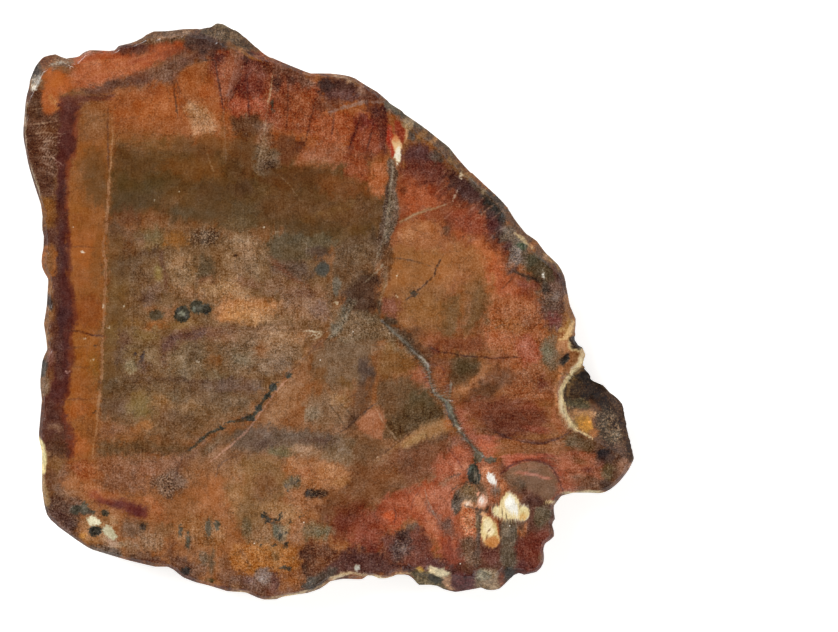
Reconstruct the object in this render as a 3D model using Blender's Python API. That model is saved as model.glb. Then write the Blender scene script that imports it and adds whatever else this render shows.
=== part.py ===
"""A polished slice of petrified wood: one slab of a fossil log, lying on its sawn back.

The slab is one body. Its cut face is flat and polished, its back is flat and sawn, and its
rim keeps the natural surface of the log: fluted, lumpy, stepped, and set lower than the
polished face where bark is left. One corner is broken out, and an open seam and a few small
pits cross the polished face. Metres, +Z up, the back at z = 0.
"""

import math

import bmesh
import bpy
import numpy as np
from mathutils import Matrix, Vector, noise

MM = 0.001

# Driving dimensions of the slab.
THICKNESS = 6.0 * MM
POINT_SPACING = 0.55 * MM
OUTLINE_SOFTENING = 0.16 * MM
DIRECTION_SOFTENING = 1.4 * MM
SETBACK_SOFTENING = 0.7 * MM

# The natural rim, measured inwards from the widest outline.
FLUTE_DEPTH = 0.45 * MM
FLUTE_LENGTH = 3.2 * MM
LUMP_DEPTH = 0.50 * MM
LUMP_SIZE = 2.1 * MM
LEDGE_DEPTH = 0.45 * MM
LEDGE_HEIGHTS = (1.7 * MM, 3.6 * MM)
LEDGE_LENGTH = 8.0 * MM
BACK_CHAMFER = 0.35 * MM
BACK_TAPER = 0.4 * MM
EDGE_BREAK = 0.22 * MM
SLOPE_OF_BARK = 0.75
RIM_ROWS = 8

# The widest outline, clockwise as seen from above, in millimetres. Each stretch gives how far
# the polished face stays back from the outline there, and the stretch's own points.
OUTLINE_STRETCHES = (
    ("weathered corner", 0.9, (
        (-25.5, 19.0), (-25.4, 19.9), (-25.0, 20.8), (-24.4, 21.6), (-23.7, 21.8),
        (-23.1, 21.9), (-22.6, 21.5), (-22.0, 21.5))),
    ("red top edge", 0.25, (
        (-21.1, 21.7), (-20.6, 22.2), (-20.1, 22.2), (-18.2, 22.1), (-18.1, 22.5),
        (-16.8, 22.8), (-16.0, 23.1))),
    ("crusted top edge", 0.6, (
        (-15.1, 23.8), (-13.6, 23.8), (-12.3, 24.0), (-10.9, 24.0))),
    ("bark knob", 1.5, (
        (-10.0, 24.2), (-9.6, 24.5), (-9.2, 24.6), (-8.5, 24.2), (-7.4, 23.6))),
    ("below the knob", 0.8, (
        (-6.9, 23.1), (-6.2, 22.5), (-5.7, 22.0))),
    ("upper right side", 0.35, (
        (-5.0, 21.6), (-3.3, 20.9), (-1.6, 20.2), (0.1, 20.2), (1.1, 20.1), (2.1, 19.9),
        (3.0, 19.3), (4.2, 18.6), (5.1, 17.8))),
    ("golden bark", 0.85, (
        (6.1, 17.1), (8.7, 15.2), (10.2, 14.0), (10.9, 13.1), (11.9, 12.0))),
    ("dark bark", 0.45, (
        (13.9, 10.2), (14.7, 9.4))),
    ("tan bark", 0.9, (
        (15.3, 8.7), (15.9, 7.7), (16.8, 6.6), (17.7, 6.0), (18.5, 4.9))),
    ("right shoulder", 0.45, (
        (19.7, 3.8), (20.2, 2.8), (20.3, 1.8), (20.6, 0.4))),
    ("tan lobe", 0.6, (
        (21.1, -0.8), (21.0, -1.9))),
    ("chipped lip", 0.3, (
        (21.0, -2.2), (21.5, -2.9), (21.9, -3.7), (21.8, -4.1), (21.5, -4.6))),
    ("broken right lobe", 0.4, (
        (22.0, -4.9), (22.7, -5.3), (23.0, -5.9), (23.4, -5.8), (24.0, -6.4), (24.8, -7.2),
        (25.1, -8.2), (25.9, -10.8), (25.8, -11.8), (26.0, -12.6))),
    ("underside of the lobe", 0.3, (
        (25.5, -13.6), (24.9, -14.4), (24.2, -15.1), (23.3, -15.6), (22.2, -15.5),
        (20.8, -15.5), (19.7, -15.8))),
    ("notch", 0.25, (
        (19.3, -16.5), (19.1, -16.7), (19.3, -17.7), (19.0, -18.2), (19.3, -18.9),
        (19.2, -19.4), (18.5, -19.7), (18.3, -20.3), (18.4, -21.0), (18.3, -21.7),
        (17.7, -22.3), (16.6, -22.5), (15.9, -22.3))),
    ("bark lumps", 1.3, (
        (15.8, -22.5), (15.2, -23.1), (14.6, -23.7), (13.7, -23.9), (13.0, -23.6),
        (12.0, -23.8), (10.8, -24.0), (9.9, -23.8), (9.1, -23.4), (7.6, -23.4),
        (7.0, -22.6))),
    ("bottom edge", 0.35, (
        (6.1, -22.4), (4.9, -22.8), (4.2, -22.8), (3.5, -22.4), (2.8, -22.9), (1.4, -22.8),
        (0.2, -23.0), (-0.6, -23.6), (-1.6, -24.0), (-4.1, -24.4), (-4.5, -24.6),
        (-5.7, -24.6), (-7.0, -24.0), (-8.6, -23.9), (-10.2, -23.4), (-11.4, -23.1),
        (-12.4, -22.7), (-13.5, -21.8), (-14.8, -21.8), (-17.3, -21.2))),
    ("lower left edge", 0.3, (
        (-18.3, -20.9), (-20.3, -20.3), (-21.5, -19.5), (-22.9, -18.5), (-23.9, -17.6),
        (-24.2, -16.6), (-24.4, -15.2))),
    ("pale left rind", 0.35, (
        (-24.4, -12.0), (-24.7, -10.7), (-24.5, -8.6), (-24.4, -7.5))),
    ("left knobs", 0.5, (
        (-24.6, -6.0), (-24.5, -5.1), (-24.4, -4.1), (-24.0, -3.3), (-24.1, -2.3),
        (-24.3, -1.1), (-24.0, 0.7), (-23.9, 2.7), (-24.4, 3.5), (-24.5, 4.4), (-24.3, 5.4),
        (-24.3, 6.4), (-24.5, 7.2), (-24.3, 7.7))),
    ("left edge", 0.25, (
        (-24.5, 9.0), (-25.0, 10.5), (-25.6, 12.5), (-26.0, 14.7), (-26.0, 15.4),
        (-25.8, 17.8), (-25.6, 18.7))),
)

# Broken hollows, each a lumpy ellipsoid: centre x, y, its height over the polished face, and
# its three half widths, in millimetres.
HOLLOWS = (
    ("deep_hollow", 23.2, -6.4, 0.5, 3.1, 2.0, 2.9),
    ("worn_slope", 25.1, -10.2, 1.2, 2.9, 2.9, 2.3),
    ("small_notch", 21.5, -2.5, 0.2, 1.0, 0.7, 1.5),
)

# Small open pits: centre x, y and radius at the polished face, in millimetres.
PITS = (
    (-12.4, -0.1, 0.55), (-10.7, 0.0, 0.55), (-14.7, -0.2, 0.4),
    (-4.6, -6.4, 0.45), (-5.9, -8.2, 0.4), (-7.0, -9.2, 0.45), (-10.9, -11.0, 0.5),
    (-21.0, -16.5, 0.5), (-19.2, -17.2, 0.3), (-19.8, -18.6, 0.55),
    (-9.4, -18.1, 0.4), (-5.4, -17.8, 0.4), (-3.5, -19.9, 0.35), (12.3, -13.8, 0.65),
)
PIT_FLATTENING = 0.75

# The open seam between two fossil cells: its route over the polished face, in millimetres.
SEAM_ROUTE = (
    (4.6, -0.9), (5.7, -1.9), (7.1, -3.3), (8.1, -4.3), (8.5, -5.2), (8.6, -6.2),
    (9.0, -7.0), (9.9, -7.5), (10.2, -8.4), (10.6, -9.3), (11.0, -10.2), (11.7, -11.0),
    (12.2, -11.6),
)
SEAM_HALF_WIDTH = 0.26 * MM

STONE_COLOUR = (0.27, 0.105, 0.045, 1.0)
STONE_ROUGHNESS = 0.28


def clear_scene():
    for item in list(bpy.data.objects):
        bpy.data.objects.remove(item, do_unlink=True)


def new_collection(name):
    collection = bpy.data.collections.new(name)
    bpy.context.scene.collection.children.link(collection)
    return collection


def new_object(name, mesh, collection):
    item = bpy.data.objects.new(name, mesh)
    collection.objects.link(item)
    return item


def softened(values, reach, spacing):
    """Average a closed row of values along the row, with a bell curve as wide as reach."""
    count = len(values)
    offsets = np.arange(count)
    offsets = np.minimum(offsets, count - offsets) * spacing
    bell = np.exp(-0.5 * (offsets / reach) ** 2)
    bell /= bell.sum()
    spectrum = np.fft.rfft(values, axis=0)
    weights = np.fft.rfft(bell)
    if spectrum.ndim == 2:
        weights = weights[:, None]
    return np.fft.irfft(spectrum * weights, n=count, axis=0)


def sampled_outline():
    """Walk the outline at an even spacing, and give its points and the face's set-backs.

    The walk is turned to run anticlockwise, and moved so that the slab's box is centred.
    """
    corners = [point for _, _, points in OUTLINE_STRETCHES for point in points]
    setbacks = [back for _, back, points in OUTLINE_STRETCHES for _ in points]
    corners = np.array(corners[::-1]) * MM
    setbacks = np.array(setbacks[::-1]) * MM
    closed = np.vstack((corners, corners[:1]))
    lengths = np.linalg.norm(np.diff(closed, axis=0), axis=1)
    stations = np.concatenate(([0.0], np.cumsum(lengths)))
    count = int(round(stations[-1] / POINT_SPACING))
    walk = np.linspace(0.0, stations[-1], count, endpoint=False)
    points = np.column_stack([np.interp(walk, stations, closed[:, axis]) for axis in (0, 1)])
    backs = np.interp(walk, stations, np.append(setbacks, setbacks[0]))
    spacing = stations[-1] / count
    points = softened(points, OUTLINE_SOFTENING, spacing)
    points -= (points.max(axis=0) + points.min(axis=0)) / 2
    return points, softened(backs, SETBACK_SOFTENING, spacing), spacing


def outward_directions(points, spacing):
    """Unit directions out of the outline, from a softened copy so that they fan smoothly."""
    smooth = softened(points, DIRECTION_SOFTENING, spacing)
    along = np.roll(smooth, -1, axis=0) - np.roll(smooth, 1, axis=0)
    outward = np.column_stack((along[:, 1], -along[:, 0]))
    return outward / np.linalg.norm(outward, axis=1)[:, None]


def noise_row(points, height, size, seed):
    """Smooth noise from 0 to 1 on the rim at one height, with lumps about as wide as size."""
    row = [noise.noise(Vector((x, y, height)) / size + Vector((seed, 0, 0))) for x, y in points]
    return np.clip(0.5 + 0.7 * np.array(row), 0.0, 1.0)


def rim_inset(points, height):
    """How far the natural rim lies inside the widest outline at one height.

    Flutes run straight down the rim, lumps vary with height too, and below each ledge the
    rim steps in along the stretches where that ledge's own noise is high.
    """
    depth = 1.0 - height / THICKNESS
    inset = FLUTE_DEPTH * noise_row(points, 0.0, FLUTE_LENGTH, 3.0) * (0.4 + 0.6 * depth)
    inset += LUMP_DEPTH * noise_row(points, height, LUMP_SIZE, 11.0)
    inset += BACK_TAPER * depth ** 2
    for seed, ledge_height in enumerate(LEDGE_HEIGHTS, start=23):
        if height < ledge_height:
            inset += LEDGE_DEPTH * noise_row(points, 0.0, LEDGE_LENGTH, seed)
    return inset


def slab_rings():
    """The closed rings of the slab, from the back up to the polished face."""
    points, setbacks, spacing = sampled_outline()
    outward = outward_directions(points, spacing)
    even = softened(points, SETBACK_SOFTENING, spacing)
    share = np.clip(setbacks / MM, 0.0, 1.0)[:, None]
    face = points * (1 - share) + even * share - outward * setbacks[:, None]
    crest = THICKNESS - EDGE_BREAK - SLOPE_OF_BARK * setbacks

    rings = []
    back_inset = rim_inset(points, 0.0) + BACK_CHAMFER
    rings.append((points - outward * back_inset[:, None], np.zeros(len(points))))
    for row in range(RIM_ROWS):
        rise = row / (RIM_ROWS - 1)
        height = BACK_CHAMFER + (crest - BACK_CHAMFER) * rise
        level = BACK_CHAMFER + (THICKNESS - BACK_CHAMFER) * rise
        inset = rim_inset(points, level) * (1 - rise ** 4)
        rings.append((points - outward * inset[:, None], height))
    middle = 0.45 * points + 0.55 * face
    sag = LUMP_DEPTH * noise_row(points, THICKNESS, LUMP_SIZE, 31.0) * share[:, 0]
    rings.append((middle, THICKNESS - EDGE_BREAK - (THICKNESS - EDGE_BREAK - crest) * 0.4 - sag))
    rings.append((face, np.full(len(points), THICKNESS)))
    return rings


def loft(name, rings):
    """Skin closed rings of equal length with quads, and close both ends with one face each."""
    model = bmesh.new()
    rows = []
    for plan, heights in rings:
        rows.append([model.verts.new((x, y, z)) for (x, y), z in zip(plan, heights)])
    count = len(rows[0])
    for lower, upper in zip(rows, rows[1:]):
        for i in range(count):
            j = (i + 1) % count
            model.faces.new((lower[i], lower[j], upper[j], upper[i]))
    model.faces.new(rows[0][::-1])
    model.faces.new(rows[-1])
    mesh = bpy.data.meshes.new(name)
    model.to_mesh(mesh)
    model.free()
    return mesh


def stone_material():
    material = bpy.data.materials.new("petrified_wood")
    material.use_nodes = True
    shader = material.node_tree.nodes["Principled BSDF"]
    shader.inputs["Base Color"].default_value = STONE_COLOUR
    shader.inputs["Roughness"].default_value = STONE_ROUGHNESS
    shader.inputs["Metallic"].default_value = 0.0
    return material


def lump_mesh(name, centre, radii, roughness, divisions):
    """A ball stretched to three half widths, with smooth bumps from noise."""
    model = bmesh.new()
    bmesh.ops.create_icosphere(model, subdivisions=divisions, radius=1.0)
    for vert in model.verts:
        vert.co *= 1.0 + roughness * noise.noise(vert.co * 1.7 + Vector(centre) / MM)
    bmesh.ops.transform(model, matrix=Matrix.Diagonal((*radii, 1.0)), verts=model.verts)
    bmesh.ops.translate(model, vec=centre, verts=model.verts)
    mesh = bpy.data.meshes.new(name)
    model.to_mesh(mesh)
    model.free()
    return mesh


def pits_mesh():
    """All the small pits as one mesh of separate flattened balls."""
    model = bmesh.new()
    for x, y, radius in PITS:
        place = Matrix.Translation((x * MM, y * MM, THICKNESS))
        size = Matrix.Diagonal((radius * MM, radius * MM, radius * MM * PIT_FLATTENING, 1.0))
        bmesh.ops.create_icosphere(model, subdivisions=2, radius=1.0, matrix=place @ size)
    mesh = bpy.data.meshes.new("pits")
    model.to_mesh(mesh)
    model.free()
    return mesh


def seam_mesh():
    """The seam's cutter: a round tube along its route, half sunk in the polished face."""
    curve = bpy.data.curves.new("seam", "CURVE")
    curve.dimensions = "3D"
    curve.bevel_depth = SEAM_HALF_WIDTH
    curve.bevel_resolution = 1
    curve.use_fill_caps = True
    spline = curve.splines.new("POLY")
    spline.points.add(len(SEAM_ROUTE) - 1)
    for point, (x, y) in zip(spline.points, SEAM_ROUTE):
        point.co = (x * MM, y * MM, THICKNESS, 1.0)
    guide = bpy.data.objects.new("seam_guide", curve)
    bpy.context.scene.collection.objects.link(guide)
    ready = guide.evaluated_get(bpy.context.evaluated_depsgraph_get())
    mesh = bpy.data.meshes.new_from_object(ready)
    bpy.data.objects.remove(guide, do_unlink=True)
    model = bmesh.new()
    model.from_mesh(mesh)
    bmesh.ops.remove_doubles(model, verts=model.verts, dist=0.001 * MM)
    model.to_mesh(mesh)
    model.free()
    return mesh


def cut(body, cutter):
    cutter.hide_render = True
    cutter.display_type = "WIRE"
    modifier = body.modifiers.new(cutter.name, "BOOLEAN")
    modifier.operation = "DIFFERENCE"
    modifier.solver = "EXACT"
    modifier.object = cutter


def main():
    clear_scene()
    parts = new_collection("petrified_wood_slice")
    cutters = new_collection("cutters")

    body = new_object("petrified_wood_slice", loft("petrified_wood_slice", slab_rings()), parts)
    body.data.materials.append(stone_material())
    body.data.shade_smooth()
    body.data.set_sharp_from_angle(angle=math.radians(35))

    for name, x, y, lift, *radii in HOLLOWS:
        centre = Vector((x * MM, y * MM, THICKNESS + lift * MM))
        mesh = lump_mesh(name, centre, [radius * MM for radius in radii], 0.16, 3)
        cut(body, new_object(name, mesh, cutters))
    cut(body, new_object("pits", pits_mesh(), cutters))
    cut(body, new_object("seam", seam_mesh(), cutters))


main()
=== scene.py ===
"""A polished slice of petrified wood on a pale floor, laid out as an add-on and run as a script.

The slice is one closed surface: a cut and polished face with its minerals, seams, pits and a
broken corner, the natural rind round it, and the sawn back. Tables below are in millimetres on
the slice's own frame, and the meshes are in metres.
"""

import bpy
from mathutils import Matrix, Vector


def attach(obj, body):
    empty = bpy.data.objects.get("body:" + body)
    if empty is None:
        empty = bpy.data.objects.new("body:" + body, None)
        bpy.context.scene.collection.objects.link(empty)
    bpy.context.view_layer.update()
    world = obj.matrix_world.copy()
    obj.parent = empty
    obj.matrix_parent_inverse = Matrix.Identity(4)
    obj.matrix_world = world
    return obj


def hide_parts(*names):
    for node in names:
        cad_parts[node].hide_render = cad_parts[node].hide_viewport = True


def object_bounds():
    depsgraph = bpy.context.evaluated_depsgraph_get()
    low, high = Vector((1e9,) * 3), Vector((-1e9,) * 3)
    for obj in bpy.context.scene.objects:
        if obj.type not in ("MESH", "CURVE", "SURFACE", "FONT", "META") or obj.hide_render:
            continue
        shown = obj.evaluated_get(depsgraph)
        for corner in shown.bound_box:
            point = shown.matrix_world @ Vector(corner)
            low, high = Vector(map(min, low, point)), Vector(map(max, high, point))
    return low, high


bl_info = {
    "name": "Petrified Wood Slice",
    "version": (1, 0, 0),
    "blender": (4, 5, 0),
    "location": "View3D > Sidebar > Petrified wood",
    "description": "Builds a polished slice of petrified wood with its rind, and a plain stage",
    "category": "Add Mesh",
}

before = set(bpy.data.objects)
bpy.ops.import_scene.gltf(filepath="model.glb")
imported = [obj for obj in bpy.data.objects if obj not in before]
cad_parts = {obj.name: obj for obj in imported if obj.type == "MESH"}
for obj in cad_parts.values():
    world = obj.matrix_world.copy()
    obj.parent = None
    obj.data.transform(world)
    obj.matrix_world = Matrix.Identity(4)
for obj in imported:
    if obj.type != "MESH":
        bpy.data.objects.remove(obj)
CAD_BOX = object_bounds()

import itertools
import math

import bpy
import numpy as np
from bpy.props import FloatProperty, FloatVectorProperty, PointerProperty
from mathutils import Vector

MM = 0.001
NODE = "petrified_wood_slice"

# The face is a grid of FACE_STEPS steps from its middle to each side, bent into a disc, so its
# edge has eight times as many points. The last EDGE_STEPS are EDGE_STEP millimetres each, finer
# than those inside.
FACE_STEPS = 128
EDGE_POINTS = 8 * FACE_STEPS
EDGE_STEPS = 24
EDGE_STEP = 0.12
RIM_ROWS = 22
UNDERCUT = 0.8  # how far in the rim may lean for each millimetre down

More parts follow.
